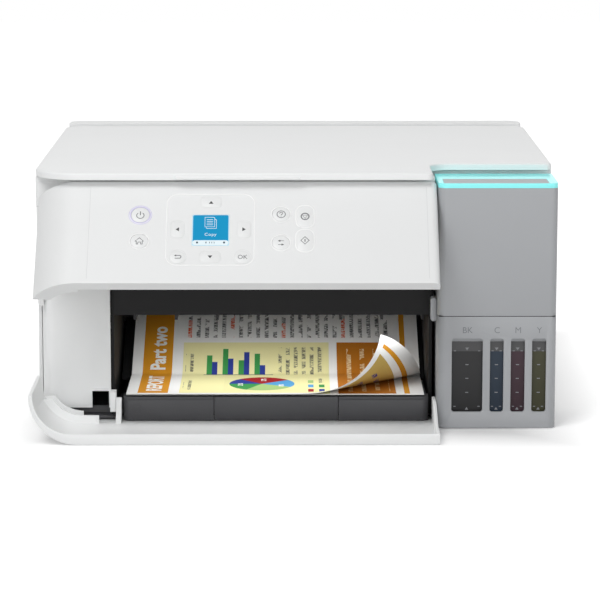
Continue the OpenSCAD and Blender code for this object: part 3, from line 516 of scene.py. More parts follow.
# heights of the middle dashes, side and height of the others, how far aside those are, and each
# pointer's height, half width and tip
MIDDLE_DASHES = (46.5, 36.4, 26.1)
SIDE_DASHES = ((-1, 56.6), (1, 56.6), (-1, 15.8), (1, 15.8))
WIDE_ASIDE, NARROW_ASIDE = 8.7, 2.9
FULL_POINTER, LOW_POINTER = (59.0, 1.35, -2.0), (13.4, 1.2, 1.9)
LETTER_DEPTH, LETTER_FOOT, LETTER_SIZE = 0.02, 70.1, 4.3
for ink_name, ink, window, letters in INKS:
    moulding("ink_tank_" + ink_name, filled_tank(ink_name, ink), edge=0.3)
    middle = sum(window) / 2
    aside = WIDE_ASIDE if ink_name == "black" else NARROW_ASIDE
    for number, height in enumerate(MIDDLE_DASHES):
        dash("ink_mark.%s.%d" % (ink_name, number), middle, height, 2.2)
    for number, (side, height) in enumerate(SIDE_DASHES, 3):
        dash("ink_mark.%s.%d" % (ink_name, number), middle + side * aside, height, 1.6)
    pointer("ink_mark.%s.full" % ink_name, middle, *FULL_POINTER)
    pointer("ink_mark.%s.low" % ink_name, middle, *LOW_POINTER)
    letter = lettering("ink_letter." + ink_name, letters, middle, LETTER_DEPTH, LETTER_FOOT,
                       LETTER_SIZE, letter_grey)
    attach(letter, "chassis")

CAPS = (("black", "#303032"), ("cyan", "#1d7fb8"), ("magenta", "#b8307a"), ("yellow", "#d8b820"))
for cap_name, colour in CAPS:
    soft_cap = moulded_plastic("soft " + cap_name + " polyethylene", colour, 0.4, 0.8, 0.02)
    moulding("ink_cap_" + cap_name, soft_cap, edge=0.3)

silicone = moulded_plastic("translucent silicone tube", "#7b7e81", 0.35, 0.8, 0.01)
silicone.node_tree.nodes["Principled BSDF"].inputs["Subsurface Weight"].default_value = 0.2
finish("ink_tubes", silicone)

# the glow is even along the guide and a little deeper in colour on its front
light_guide, tree, surface = new_material(
    "acrylic light guide, lit cyan",
    {"Base Color": linear("#90f6f6"), "Roughness": 0.2, "Emission Strength": 0.13})
normal = add_node(tree, "ShaderNodeNewGeometry", {}, {}).outputs["Normal"]
facing = maths(tree, "LESS_THAN", split(tree, normal)["Y"], -0.5)
glow = blend(tree, facing, linear("#9cffff"), linear("#8affff"))
tree.links.new(glow, surface.inputs["Emission Color"])
moulding("led_light_guide", light_guide, edge=0.5)

# dark rubber strip in the joint under the cover, a painted shadow that stands for the shade in the
# gap there
SEAM_SHADOW_CORNERS = ((102.8, 81.9), (186.6, 81.9), (186.6, 82.6), (102.8, 82.6))
SEAM_SHADOW_DEPTH, SEAM_SHADOW_THICKNESS = 0.35, 1.2
# painted shadow: a flush dark strip along the joint, where there is only shade
seam_shadow = flat_shape("tank_seam_shadow", [(x, SEAM_SHADOW_DEPTH, height) for x, height in SEAM_SHADOW_CORNERS], rubber,
                  SEAM_SHADOW_THICKNESS)
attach(seam_shadow, "chassis")

# sloped shoulder at the top of each ink window, moulded with the case, given as depth and height
SHOULDER = ((0.15, 66.1), (2.6, 63.6), (2.6, 66.1))
for ink_name, _, (left, right), _ in INKS:
    shoulder = flat_shape("window_shoulder." + ink_name,
                          [(left, depth, height) for depth, height in SHOULDER], grey_abs)
    for vertex in shoulder.data.vertices[len(SHOULDER):]:
        vertex.co.x = right * MM
        vertex.co.y -= SKIN * MM
    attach(shoulder, "chassis")


# Scanner. The glass lies in the frame over a dark well, and a white film on foam is stuck
# under the lid to hold the page flat.
glass, tree, surface = new_material(
    "float glass", {"Roughness": 0.02, "Transmission Weight": 0.92, "IOR": 1.52})
tint = noise(tree, object_place(tree), {"Scale": 6})
tree.links.new(blend(tree, tint, linear("#dfe8e6"), linear("#e6ecec")),
               surface.inputs["Base Color"])
finish("scanner_glass", glass)
film = moulded_plastic("white polyester film over foam", "#f4f4f2", 0.3, 6.0, 0.05)
moulding("document_mat", film, edge=0.3)


# Document lid, one white ABS moulding. It has a rim under it, a slight crown on top, a round
# corner at the front left and a notch round the ink unit. Two knuckles hinge it at the back.
LID_X = (-187.5, 187.5)
LID_REAR = 313
LID_NOTCH = (98, 57.5)
LID_UNDER = 180.8
LID_EDGE = 185.7
LID_ROUNDING = 1.5
LID_CROWN = 1.3
LIP_X, LIP_DEPTH, LIP_HEIGHT = (-85.3, 4), (-2.2, 3), (LID_UNDER + 0.2, LID_UNDER + 2.4)
RIM = 6
RIM_DEPTH = 2.2
CROWN_STEP = 12
CROWN_REACH = 70
# how near two places or levels count as the same, in millimetres
NEAR = 0.01


def start_selecting(kind):
    """Clears the selection and chooses what to select, and ends in object mode."""
    to_mode("EDIT")
    bpy.ops.mesh.select_all(action="DESELECT")
    bpy.ops.mesh.select_mode(type=kind)
    to_mode("OBJECT")


def select_faces(piece, wanted):
    """Selects the faces of which wanted(centre, normal) holds, in millimetres."""
    start_selecting("FACE")
    for face in piece.data.polygons:
        face.select = wanted(face.center / MM, face.normal)
    to_mode("EDIT")


def select_edges(piece, wanted):
    """Selects the edges of which wanted(one end, other end) holds, in millimetres."""
    start_selecting("EDGE")
    points = piece.data.vertices
    for edge in piece.data.edges:
        edge.select = wanted(*[points[end].co / MM for end in edge.vertices])
    to_mode("EDIT")


def round_corners(piece, corners):
    """Rounds upright edges, each given as its x, its depth and its radius."""
    for x, depth, radius in corners:
        place = at(x, depth, 0).xy / MM
        select_edges(piece, lambda *ends: (
            max(abs(end[axis] - place[axis]) for end in ends for axis in (0, 1)) < NEAR
            and abs(ends[0].z - ends[1].z) > 0.5))
        bpy.ops.mesh.bevel(offset=radius * MM, segments=12, affect="EDGES")


def on_top(centre, normal):
    return normal.z > 0.99 and centre.z > LID_EDGE - NEAR


def block(name, x, depth, height, material):
    """A plain block as a start, left active with its place in its mesh."""
    deselect_all()
    low, high = at(x[0], depth[0], height[0]), at(x[1], depth[1], height[1])
    bpy.ops.mesh.primitive_cube_add(size=1, location=(low + high) / 2)
    piece = bpy.context.object
    piece.name = name
    piece.scale = high - low
    bpy.ops.object.transform_apply(location=True, rotation=True, scale=True)
    piece.data.materials.append(material)
    return piece


lid = block("document_lid.shell", (LID_X[0], LID_NOTCH[0]), (LID_NOTCH[1], LID_REAR),
            (LID_UNDER, LID_EDGE), white_abs)
front_y = at(0, LID_NOTCH[1], 0).y / MM
select_faces(lid, lambda centre, normal: normal.y < -0.5)
bpy.ops.mesh.extrude_region_move(TRANSFORM_OT_translate={"value": (0, -LID_NOTCH[1] * MM, 0)})
select_faces(lid, lambda centre, normal: normal.x > 0.5 and centre.y > front_y)
bpy.ops.mesh.extrude_region_move(
    TRANSFORM_OT_translate={"value": ((LID_X[1] - LID_NOTCH[0]) * MM, 0, 0)})
bpy.ops.mesh.select_all(action="SELECT")
bpy.ops.mesh.dissolve_limited(angle_limit=math.radians(1))
# the rim follows the wide corners, and the two small ones are cut after it
round_corners(lid, ((LID_X[0], 0, 34), (*LID_NOTCH, 14), (LID_X[1], LID_REAR, 12),
                    (LID_X[0], LID_REAR, 12)))
select_faces(lid, lambda centre, normal: normal.z < -0.5)
bpy.ops.mesh.inset(thickness=RIM * MM)
bpy.ops.mesh.extrude_region_move(TRANSFORM_OT_translate={"value": (0, 0, RIM_DEPTH * MM)})
round_corners(lid, ((LID_NOTCH[0], 0, 4), (LID_X[1], LID_NOTCH[1], 4)))
select_edges(lid, lambda one, other: min(one.z, other.z) > LID_EDGE - NEAR)
bpy.ops.mesh.bevel(offset=LID_ROUNDING * MM, segments=4, affect="EDGES")
select_faces(lid, on_top)
for along, low, high in (((1, 0, 0), *LID_X), ((0, 1, 0), 0, LID_REAR)):
    for step in range(1, int((high - low) / CROWN_STEP) + 1):
        cut = low + step * CROWN_STEP
        bpy.ops.mesh.bisect(plane_co=at(cut * along[0], cut * along[1], 0), plane_no=along)
        to_mode("OBJECT")
        select_faces(lid, on_top)
to_mode("OBJECT")
for vertex in lid.data.vertices:
    x, depth = vertex.co.x / MM, (vertex.co.y - FRONT) / MM
    if vertex.co.z < (LID_EDGE - NEAR) * MM:
        continue
    inside = min(x - LID_X[0], LID_X[1] - x, LID_REAR - depth, depth)
    if x > LID_NOTCH[0]:
        inside = min(inside, depth - LID_NOTCH[1])
    elif depth < LID_NOTCH[1]:
        inside = min(inside, LID_NOTCH[0] - x)
    else:
        inside = min(inside, math.hypot(LID_NOTCH[0] - x, depth - LID_NOTCH[1]))
    share = max(0, min(1, inside / CROWN_REACH))
    vertex.co.z += LID_CROWN * MM * (1 - (1 - share) ** 2)
bpy.ops.object.shade_smooth_by_angle(angle=math.radians(30))
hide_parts("document_lid")
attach(lid, "lid")

# finger lip under the lid's front edge, above the middle of the panel
lip = block("document_lid.lip", LIP_X, LIP_DEPTH, LIP_HEIGHT, white_abs)
select_edges(lip, lambda one, other: True)
bpy.ops.mesh.bevel(offset=0.7 * MM, segments=3, affect="EDGES")
to_mode("OBJECT")
bpy.ops.object.shade_smooth_by_angle(angle=math.radians(30))
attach(lip, "lid")

# the solid's own knuckles, cut off just behind the lid
knuckles = moulding("document_lid", white_abs, edge=0)
knuckles.name = "document_lid.knuckles"
to_mode("EDIT")
bpy.ops.mesh.select_all(action="SELECT")
bpy.ops.mesh.bisect(plane_co=at(0, LID_REAR + 0.02, 0), plane_no=(0, 1, 0),
                    clear_inner=True, use_fill=True, threshold=1e-6)
to_mode("OBJECT")


# Control panel of white ABS, tilted out on two hinges, with a cover screwed on behind it. The
# outlines and signs are pad-printed, and a raised ring runs round each key.
panel_white = moulded_plastic("white ABS, fine satin", "#eaebeb", 0.4, 0.7, 0.012)
key_white = moulded_plastic("white ABS keys, fine satin", "#ebecec", 0.38, 0.7, 0.01)
inner_white = moulded_plastic("white ABS, unpolished", "#d9dadb", 0.55, 0.9, 0.02)
moulding("panel_back", inner_white, edge=0.4)
PANEL_TOP = 175
HINGE_LINE = at(0, 8, 169)
TILTED_OUT = (Matrix.Translation(HINGE_LINE) @ Matrix.Rotation(math.radians(-44), 4, "X")
              @ Matrix.Translation(-HINGE_LINE))
# depths of what lies on the face, and how much a printed line is pressed flat
SEAM_DEPTH, RING_DEPTH, SIGN_DEPTH, SOLID_SIGN_DEPTH = -0.1, -0.06, -0.22, -0.27
PRINT_FLAT = 0.28
# the face's right end, where it meets the end wall
FACE_END = 100.9

# the panel's right end is rounded over, where the face runs back into the end wall
panel = moulding("control_panel", panel_white, edge=0)
panel.data.transform(TILTED_OUT.inverted())
select_edges(panel, lambda *ends: (all(abs(end.y * MM - FRONT) < 0.05 * MM for end in ends)
                                   and min(end.x for end in ends) > FACE_END))
bpy.ops.mesh.bevel(offset=4.5 * MM, segments=8, affect="EDGES")
to_mode("OBJECT")
panel.data.transform(TILTED_OUT)
round_edges(panel, 0.45)
bpy.ops.object.shade_smooth_by_angle(angle=math.radians(SHARP))


def on_panel(piece, body):
    """Tilts out a piece that was drawn on the closed panel, to ride on the panel or a key."""
    piece.data.transform(TILTED_OUT)
    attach(piece, body)


def line_on(name, places, width, material, body="panel", depth=0.0,
            closed=False):
    """A printed line through places given as x and distance below the panel's top."""
    points = [at(x, depth, PANEL_TOP - down) for x, down in places]
    on_panel(tube(name, points, width, material, PRINT_FLAT, closed), body)


def patch_on(name, places, material, body, depth):
    """A printed patch with corners given as x and distance below the panel's top."""
    corners = [(x, depth, PANEL_TOP - down) for x, down in places]
    on_panel(flat_shape(name, corners, material), body)


def arc(x, down, radius, start, end, steps=28):
    """Places along an arc. The angles are in degrees and run anticlockwise from the right."""
    angles = [math.radians(start + (end - start) * step / steps) for step in range(steps + 1)]
    return [(x + radius * math.cos(turn), down - radius * math.sin(turn)) for turn in angles]


def ring(x, down, radius):
    """Places all round a circle, of which a closed line joins the last to the first."""
    return arc(x, down, radius, 0, 354, 60)


def rounded_patch(x, down, radius, steps=6):
    """Places round a rectangle with rounded corners."""
    points = rounded_outline(x, (PANEL_TOP - down[1], PANEL_TOP - down[0]), radius, 0, steps)
    return [(point.x / MM, PANEL_TOP - point.z / MM) for point in points]


# near-white ink of the outlines, with the lavender of the power ring and two greys for signs
outline_white = moulded_plastic("near-white printed line", "#ffffff", 0.35, 0.7, 0.005, 0.005)
lavender = moulded_plastic("lavender printed ring", "#d9d4f3", 0.35, 0.7, 0.005, 0.02)
sign_grey = moulded_plastic("grey pad-printed ink", "#66686b", 0.45, 0.7, 0.005, 0.04)
sign_dark = moulded_plastic("dark pad-printed ink", "#3c3c3e", 0.45, 0.7, 0.005, 0.04)

# middle and radius of each round key, and middle of each long key
ROUND_KEYS = {"power": (-109.7, 29.4, 6.5), "home": (-109.8, 52.1, 6.2),
              "help": (-10.1, 28.9, 6.2), "page": (-10.2, 53.6, 6.2),
              "back": (-82.6, 65.7, 5.6), "ok": (-37.1, 65.7, 5.6)}
SMALL_KEYS = ("back", "ok")
LONG_KEYS = {"stop": (6.8, 30.8), "start": (6.7, 51.6)}
LONG_KEY_REACH = (6.4, 9.7)
SEAM_GAP, RING_GAP = 0.15, 0.5
SEAM_WIDTH, RING_WIDTH = 0.7, 0.95
KEY_AT = {key: place[:2] for key, place in (ROUND_KEYS | LONG_KEYS).items()}
for key, (x, down, radius) in ROUND_KEYS.items():
    if key in SMALL_KEYS:
        moulding(key + "_key", key_white, edge=0.25)
        line_on("key_seam." + key, ring(x, down, radius + SEAM_GAP), SEAM_WIDTH, panel_white,
                depth=SEAM_DEPTH, closed=True)
    else:
        moulding(key + "_button", key_white, edge=0.25)
        line_on("key_ring." + key, ring(x, down, radius + RING_GAP), RING_WIDTH,
                lavender if key == "power" else outline_white, depth=RING_DEPTH, closed=True)
line_on("key_ring.power.outer", ring(*KEY_AT["power"], 8.05), 0.55, lavender, closed=True)
line_on("key_ring.power.band", ring(*KEY_AT["power"], 7.45), 0.7, outline_white, closed=True)
for key, middle in LONG_KEYS.items():
    moulding(key + "_button", key_white, edge=0.25)
    sides = [(place - reach, place + reach) for place, reach in zip(middle, LONG_KEY_REACH)]
    line_on("key_ring." + key, rounded_patch(*sides, 5.4), RING_WIDTH, outline_white,
            depth=RING_DEPTH, closed=True)

ARROW_PADS = ((-59.8, 18.2, 14, 9), (-59.9, 65.9, 14, 9), (-83.3, 42, 9, 14), (-36.3, 42, 9, 14))
moulding("arrow_keys", key_white, edge=0.25)
for number, (x, down, width, height) in enumerate(ARROW_PADS):
    across, along = width / 2 + SEAM_GAP, height / 2 + SEAM_GAP
    line_on("key_seam.arrow%d" % number,
            rounded_patch((x - across, x + across), (down - along, down + along), 3.15),
            SEAM_WIDTH, panel_white, depth=SEAM_DEPTH, closed=True)
line_on("panel_outline.arrows", rounded_patch((-91, -29), (11.2, 72.6), 8, 10), 0.75,
        outline_white, closed=True)
for number, x in enumerate((-145.7, 93.4)):
    line_on("panel_seam.%d" % number, ((x, 5), (x, 84)), 0.28, inner_white)


def sign(name, places, body, closed=False, width=0.6):
    line_on("key_sign." + name, places, width, sign_grey, body, SIGN_DEPTH, closed)


def solid_sign(name, places, body):
    patch_on(name, places, sign_dark, body, SOLID_SIGN_DEPTH)


def on_key(key, places):
    """Places that were given from the middle of a key."""
    x, down = KEY_AT[key]
    return [(x + dx, down + dy) for dx, dy in places]


ARROWS = (((-61.5, 19.7), (-58.1, 19.7), (-59.8, 17.3)),
          ((-61.6, 64.5), (-59.9, 66.9), (-58.2, 64.5)),
          ((-84.5, 42), (-82.1, 43.7), (-82.1, 40.3)),
          ((-37.5, 40.3), (-37.5, 43.7), (-35.1, 42)))
for number, places in enumerate(ARROWS):
    solid_sign("arrow_sign.%d" % number, places, "arrows")
sign("power.arc", arc(-109.7, 29.9, 2.6, 128, 412), "power_key")
sign("power.bar", ((-109.7, 26.4), (-109.7, 29.6)), "power_key")
HOUSE = ((-1, 2.6), (-2.1, 2.6), (-2.1, 0.1), (-3.0, 0.1), (0, -2.8), (3.0, 0.1), (2.1, 0.1),
         (2.1, 2.6), (1, 2.6), (1, 0.9), (-1, 0.9))
sign("home", on_key("home", HOUSE), "home_key", closed=True, width=0.7)
sign("help.circle", arc(*KEY_AT["help"], 2.95, 0, 350), "help_key", closed=True)
HOOK = ((-1.1, -0.7), (-0.7, -1.5), (0.2, -1.8), (1.1, -1.2), (0.9, -0.3), (0.1, 0.3), (0, 0.9))
sign("help.hook", on_key("help", HOOK), "help_key")
sign("help.dot", on_key("help", ((0, 1.6), (0, 1.9))), "help_key")
for name, side in (("left", -1), ("right", 1)):
    level = side * 1.65
    sign("page.%s.line" % name, on_key("page", ((-side * 2.1, level), (side * 1.0, level))),
         "page_key", width=0.45)
    head = ((side * 2.2, level), (side * 0.4, level - 0.85), (side * 0.4, level + 0.85))
    solid_sign("key_sign.page.%s.head" % name, on_key("page", head), "page_key")
sign("stop.circle", arc(*KEY_AT["stop"], 2.75, 0, 350), "stop_key", closed=True, width=0.9)
sign("stop.mark", on_key("stop", ((-1.7, -1.0), (1.7, -1.0), (0, 1.9))), "stop_key", closed=True)
sign("start.diamond", on_key("start", ((-2.9, 0), (0, -3.2), (2.9, 0), (0, 3.2))), "start_key",
     closed=True, width=0.7)
sign("start.bar", on_key("start", ((0, -1.2), (0, 1.2))), "start_key", width=0.7)
RETURN = [(-1.2, -1.2)] + arc(1.2, 0, 1.2, 90, -90, 10) + [(-2.0, 1.2)]
sign("back.line", on_key("back", RETURN), "back", width=0.65)
RETURN_HEAD = ((-2.5, -1.2), (-0.9, -0.4), (-0.9, -2.0))
solid_sign("key_sign.back.head", on_key("back", RETURN_HEAD), "back")
on_panel(lettering("key_sign.ok", "OK", -37.1, SIGN_DEPTH, PANEL_TOP - 67.4, 3.3, sign_grey), "ok")


# Liquid crystal display behind a clear window, lit from the back. It shows a copy job with a
# sheaf of pages, its name and a light bar of settings.
def lit_display(name, colour, edge_colour):
    """A backlit area. The light is a little uneven, as from a light pipe under the glass."""
    material, tree, surface = new_material(
        name, {"Base Color": (0.002, 0.002, 0.003, 1), "Roughness": 0.3,
               "Specular IOR Level": 0.02, "Emission Strength": 1})
    unevenness = noise(tree, object_place(tree), {"Scale": 40})
    tree.links.new(blend(tree, unevenness, linear(colour), linear(edge_colour)),
                   surface.inputs["Emission Color"])
    return material


screen_edge = lit_display("display, pale blue border", "#bfe3f2", "#c6e6f3")
screen_blue = lit_display("display, blue field", "#1a94c6", "#1d99ca")
screen_white = lit_display("display, white pixels", "#e4f4fa", "#eef9fd")
screen_dark = lit_display("display, dark pixels", "#3a4a55", "#44535e")
moulding("lcd_screen", screen_edge, edge=0.1)
SCREEN = (-73, -46.6)
patch_on("display.field", rounded_patch((SCREEN[0] + 0.7, SCREEN[1] - 0.7), (29.5, 53.5), 1.2),
         screen_blue, "panel", depth=0.04)
patch_on("display.bar", rounded_patch((SCREEN[0] + 0.5, SCREEN[1] - 0.5), (51.3, 55.4), 1.9),
         screen_white, "panel", depth=0.0)


def lit_line(name, places, width, material=screen_white, depth=0.02, closed=False):
    line_on("display." + name, places, width, material, "panel", depth, closed)


# middle of the sheaf of pages
SHEAF = -59.9
lit_line("sheet.front", ((SHEAF - 4.0, 31.4), (SHEAF + 2.2, 31.4), (SHEAF + 2.9, 32.1),
                         (SHEAF + 2.9, 39.6), (SHEAF - 4.0, 39.6)), 0.45, closed=True)
lit_line("sheet.back", ((SHEAF + 3.0, 33.0), (SHEAF + 4.1, 33.6), (SHEAF + 4.1, 41.1),
                        (SHEAF - 2.6, 41.1), (SHEAF - 3.2, 40.2)), 0.45)
for number, down in enumerate((33.4, 34.9, 36.4, 37.9)):
    lit_line("sheet.text%d" % number, ((SHEAF - 2.7, down), (SHEAF + 1.7, down)), 0.42)
on_panel(lettering("display.word", "Copy", SHEAF, 0.02, PANEL_TOP - 47.4, 2.4, screen_white, 0.12,
                   1.15), "panel")
BAR_MARKS = ((-69.2, 1.3), (-62.9, 0.7), (-60.4, 0.4), (-58.8, 0.4), (-57.2, 0.4), (-50.2, 1.3))
for number, (x, width) in enumerate(BAR_MARKS):
    lit_line("bar.mark%d" % number, ((x, 52.6), (x, 54.0)), width, screen_dark, depth=-0.03)


# Pages just printed on letter-size copy paper. The upper one is still half in the printer and
# its front corner curls back over a finished page, and the print is a made-up colour report.
PAGE_WIDE = 216
PAGE_LEFT = -122.7
PAPER_THICK = 0.12
TITLE_SIZE, SHARE_SIZE = 10.5, 3.6
# side of the squares a page is made of, each of one ink
CELL = 2
# depth of each page's front edge, its length, and how far it lies above the tray
UPPER_FRONT, UPPER_LENGTH, UPPER_LIFT = 10, 274, 0.8
LOWER_FRONT, LOWER_LENGTH, LOWER_LIFT = 11, 134, 0
# heights of the tray's floor and the ramp's top, and depths where the ramp starts and ends
TRAY_TOP, RAMP_TOP = 22.7, 58.6
RAMP_START, RAMP_END = 83, 152
# the curl starts at CURL_LINE across the page and is full CURL_REACH millimetres past it
CURL_LINE = (Vector((119, 0)), Vector((216, 90)))
CURL_TURN = math.radians(227)
CURL_REACH = 102
CURL_STEPS = 60


def chequered(tree, sheet, scale, above):
    """1 on the irregular patches of a sheet where a stretched noise is above a value."""
    spots = add_node(tree, "ShaderNodeMapping", {"Scale": scale}, {"Vector": sheet}).outputs[0]
    return maths(tree, "GREATER_THAN",
                 noise(tree, spots, {"Scale": 1, "Detail": 0, "noise_dimensions": "2D"}), above)


def printed(name, ink, ground=None, pitch=6.5, letter=3.0, offset=0.0):
    """Ink on uncoated paper. Where a ground is given, the ink is lines of small print on it,
    pitch millimetres apart, which run away from the page's front edge."""
    material, tree, surface = new_material(name, {"Roughness": 0.72, "Specular IOR Level": 0.3})
    # the fibres are about 0.05 mm thick and drawn coarser here, so that they show at all
    fibre = noise(tree, object_place(tree), {"Scale": 1 / (0.8 * MM), "Detail": 3})
    bump = add_node(tree, "ShaderNodeBump", {"Strength": 0.3, "Distance": 0.02 * MM},
                    {"Height": fibre})
    tree.links.new(bump.outputs[0], surface.inputs["Normal"])
    full = linear(ink)
    thinner = [min(1, value * 1.06 + 0.004) for value in full[:3]] + [1]
    colour = blend(tree, fibre, full, thinner)
    if ground:
        sheet = add_node(tree, "ShaderNodeUVMap", {}, {}).outputs["UV"]
        rows = maths(tree, "MULTIPLY_ADD", split(tree, sheet)["X"], 1 / pitch, offset)
        line = maths(tree, "FRACT", rows)
        row = maths(tree, "COMPARE", line, 0.5, letter / pitch / 2)
        stroke = chequered(tree, sheet, (0.9 / letter, 6.6 / letter, 1), 0.44)
        word = chequered(tree, sheet, (1 / pitch, 0.12, 1), 0.34)
        inked = maths(tree, "MULTIPLY", maths(tree, "MULTIPLY", stroke, word), row)
        colour = blend(tree, inked, linear(ground), colour)
    tree.links.new(colour, surface.inputs["Base Color"])
    return material


PIE_AT = (98, 37)
PIE_RADIUS = 24
GREEN, LEAF, SKY, RED, BLUE = "#3f9a50", "#a9cb80", "#5aa7de", "#a81822", "#2f3f9a"
# where each share starts round the chart, and its ink
PIE_SHARES = ((0.0, GREEN), (0.17, LEAF), (0.42, SKY), (0.6, RED), (0.87, BLUE))


def printed_pie(name, ground):
    """The pale block of the page, with a round chart of five shares."""
    material = printed(name, ground)
    tree = material.node_tree
    sheet = add_node(tree, "ShaderNodeUVMap", {}, {}).outputs["UV"]
    centred = add_node(tree, "ShaderNodeMapping", {"Location": (-PIE_AT[0], -PIE_AT[1], 0)},
                       {"Vector": sheet}).outputs[0]
    reach = add_node(tree, "ShaderNodeVectorMath", {"operation": "LENGTH"},
                     {"Vector": centred}).outputs["Value"]
    parts = split(tree, centred)
    share = add_node(tree, "ShaderNodeMapRange", {"From Min": -math.pi, "From Max": math.pi},
                     {"Value": maths(tree, "ARCTAN2", parts["Y"], parts["X"])})
    ramp = add_node(tree, "ShaderNodeValToRGB", {}, {"Fac": share.outputs[0]})
    ramp.color_ramp.interpolation = "CONSTANT"
    stops = ramp.color_ramp.elements
    stops[0].color = linear(PIE_SHARES[0][1])
    stops[1].position, stops[1].color = PIE_SHARES[1][0], linear(PIE_SHARES[1][1])
    for start, ink in PIE_SHARES[2:]:
        stops.new(start).color = linear(ink)
    inside = maths(tree, "LESS_THAN", reach, PIE_RADIUS)
    colour = blend(tree, inside, linear(ground), ramp.outputs["Color"])
    tree.links.new(colour, tree.nodes["Principled BSDF"].inputs["Base Color"])
    return material


PAPER, PALE, ORANGE, BROWN, GOLD = "#f7f7f5", "#f5efb2", "#d8921e", "#b8701a", "#c9ab5c"
FRONT_INKS = {
    "paper": printed("white copy paper, uncoated", PAPER),
    "band": printed("printed orange band", ORANGE),
    "text": printed("printed grey text", "#5f5f60", PAPER),
    "heading": printed("printed red heading", "#dd5a28", PAPER),
    "pale": printed("printed pale yellow", PALE),
    "note": printed("printed grey text on yellow", "#6a6a5c", PALE, 6, 2.8),
    "pie": printed_pie("printed round chart on yellow", PALE),
    "green": printed("printed green", GREEN),
    "blue": printed("printed blue", BLUE),
    "sky": printed("printed light blue", SKY),
    "leaf": printed("printed pale green", LEAF),
    "red": printed("printed red", RED),
    "box": printed("printed pale text on brown", "#e8cfa0", BROWN, 10, 3.4, 0.2),
    "brown": printed("printed brown", BROWN),
    "strip": printed("printed orange strip", "#d9951c"),
    "rule": printed("printed grey rule", "#8b8b7c"),
}
BACK_INKS = {"strip": "strip", "box": "back_box", "brown": "back_gold"}
EXTRA_BACKS = {"back_box": printed("printed blue marks on gold", "#3d3f86", GOLD, 12, 4.2, 0.3),
               "back_gold": printed("printed gold", GOLD)}
# blocks of print, as distances from the page's left side and front edge, the later ones on top
PAGE_LAYOUT = (
    ((8, 30), (4, 260), "band"),
    ((38, 196), (118, 250), "text"), ((40, 46), (118, 140), "heading"),
    ((72, 78), (118, 146), "heading"), ((110, 118), (118, 136), "heading"),
    ((156, 162), (118, 142), "heading"),
    ((38, 148), (4, 112), "pale"), ((40, 46), (16, 50), "note"), ((40, 46), (76, 98), "note"),
    ((70, 126), (10, 64), "pie"),
    ((132, 136), (8, 18), "red"), ((132, 136), (24, 34), "sky"), ((132, 136), (40, 50), "leaf"),
    ((140, 144), (8, 18), "blue"), ((140, 144), (24, 34), "green"), ((140, 144), (40, 56), "note"),
    ((54, 106), (70, 72), "rule"), ((56, 60), (72, 96), "green"), ((60, 64), (72, 88), "blue"),
    ((68, 72), (72, 104), "green"), ((72, 76), (72, 92), "blue"), ((80, 84), (72, 90), "green"),
    ((84, 88), (72, 100), "blue"), ((92, 96), (72, 98), "green"), ((96, 100), (72, 84), "blue"),
    ((110, 144), (72, 106), "note"),
    ((154, 196), (4, 112), "brown"), ((158, 192), (12, 104), "box"),
    ((202, 206), (4, 260), "strip"))


def ink_at(u, v):
    """The uppermost ink of the layout at a place on the page."""
    found = "paper"
    for across, along, ink in PAGE_LAYOUT:
        if across[0] < u < across[1] and along[0] < v < along[1]:
            found = ink
    return found


def on_tray(v, front, lift):
    """Depth and height of a page's upper side, v millimetres behind its front edge."""
    low = TRAY_TOP + lift
    flat = RAMP_START - front
    slope = math.hypot(RAMP_END - RAMP_START, RAMP_TOP - low)
    if v <= flat:
        return front + v, low
    share = min(1, (v - flat) / slope)
    over = max(0, v - flat - slope)
    return RAMP_START + (RAMP_END - RAMP_START) * share + over, low + (RAMP_TOP - low) * share


def rolled_up(distance):
    """How far forward and up the curl brings a point that far past its line."""
    forward = up = 0
    for step in range(CURL_STEPS):
        share = min(1, (step + 0.5) * distance / CURL_STEPS / CURL_REACH)
        turn = CURL_TURN * share * share * (3 - 2 * share)
        forward += math.cos(turn) * distance / CURL_STEPS
        up += math.sin(turn) * distance / CURL_STEPS
    return forward, up


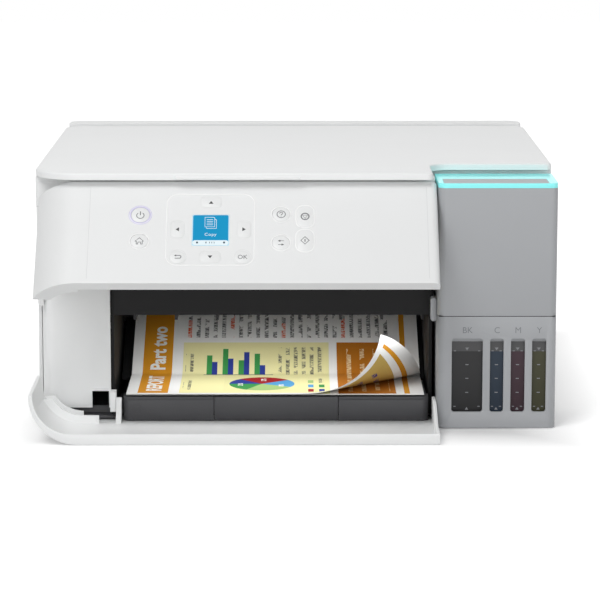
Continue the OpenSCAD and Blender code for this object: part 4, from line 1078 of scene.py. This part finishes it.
def sheet_of_paper(name, front, length, lift, curls):
    """A page laid along the tray and the ramp, with its print on both sides."""
    deselect_all()
    bpy.ops.mesh.primitive_grid_add(x_subdivisions=PAGE_WIDE // CELL,
                                    y_subdivisions=length // CELL, size=1, location=(0, 0, 0))
    piece = bpy.context.object
    piece.name = name
    mesh = piece.data
    flat_places = [((vertex.co.x + 0.5) * PAGE_WIDE, (vertex.co.y + 0.5) * length)
                   for vertex in mesh.vertices]
    sheet = mesh.uv_layers[0]
    for loop in mesh.loops:
        sheet.data[loop.index].uv = flat_places[loop.vertex_index]
    names = list(FRONT_INKS)
    for ink in names:
        mesh.materials.append(FRONT_INKS[ink])
    for ink in names:
        back = BACK_INKS.get(ink, "paper")
        mesh.materials.append(EXTRA_BACKS.get(back) or FRONT_INKS[back])
    for face in mesh.polygons:
        corners = zip(*[flat_places[index] for index in face.vertices])
        face.material_index = names.index(ink_at(*[sum(axis) / 4 for axis in corners]))
    start, end = CURL_LINE
    along = (end - start).normalized()
    past = Vector((along.y, -along.x))
    for vertex, (u, v) in zip(mesh.vertices, flat_places):
        spot, rise = Vector((u, v)), 0
        distance = (spot - start).dot(past)
        if curls and distance > 0:
            forward, rise = rolled_up(distance)
            spot += (forward - distance) * past
        depth, height = on_tray(spot.y, front, lift)
        vertex.co = at(PAGE_LEFT + spot.x, depth, height + rise)
    thickness = piece.modifiers.new("paper", "SOLIDIFY")
    thickness.thickness = PAPER_THICK * MM
    thickness.offset = -1
    thickness.material_offset = len(names)
    bpy.ops.object.modifier_apply(modifier=thickness.name)
    bpy.ops.object.shade_smooth_by_angle(angle=math.radians(40))
    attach(piece, "pages")
    return piece


def page_words(name, words, u, v, size):
    """A printed word that starts at a place on the upper page and runs away from its front."""
    piece = set_type(name, words, size, white_ink, {"offset": 0.05 * size})
    for vertex in piece.data.vertices:
        depth, height = on_tray(v + vertex.co.x, UPPER_FRONT, UPPER_LIFT + 0.04)
        vertex.co = at(PAGE_LEFT + u - vertex.co.y, depth, height)
    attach(piece, "pages")


white_ink = printed("unprinted white of a title", "#f7f6f2")
page_words("page_word.title", "REPORT", 24.5, 11, TITLE_SIZE)
page_words("page_word.subtitle", "Part two", 24.5, 78, TITLE_SIZE)
for number, (u, v, words) in enumerate(((84, 30, "21%"), (114, 26, "18%"), (101, 47, "27%"))):
    page_words("page_word.share%d" % number, words, u, v, SHARE_SIZE)

top_page = sheet_of_paper("printed_pages.upper", UPPER_FRONT, UPPER_LENGTH, UPPER_LIFT, True)
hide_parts("printed_pages")
sheet_of_paper("printed_pages.lower", LOWER_FRONT, LOWER_LENGTH, LOWER_LIFT, False)
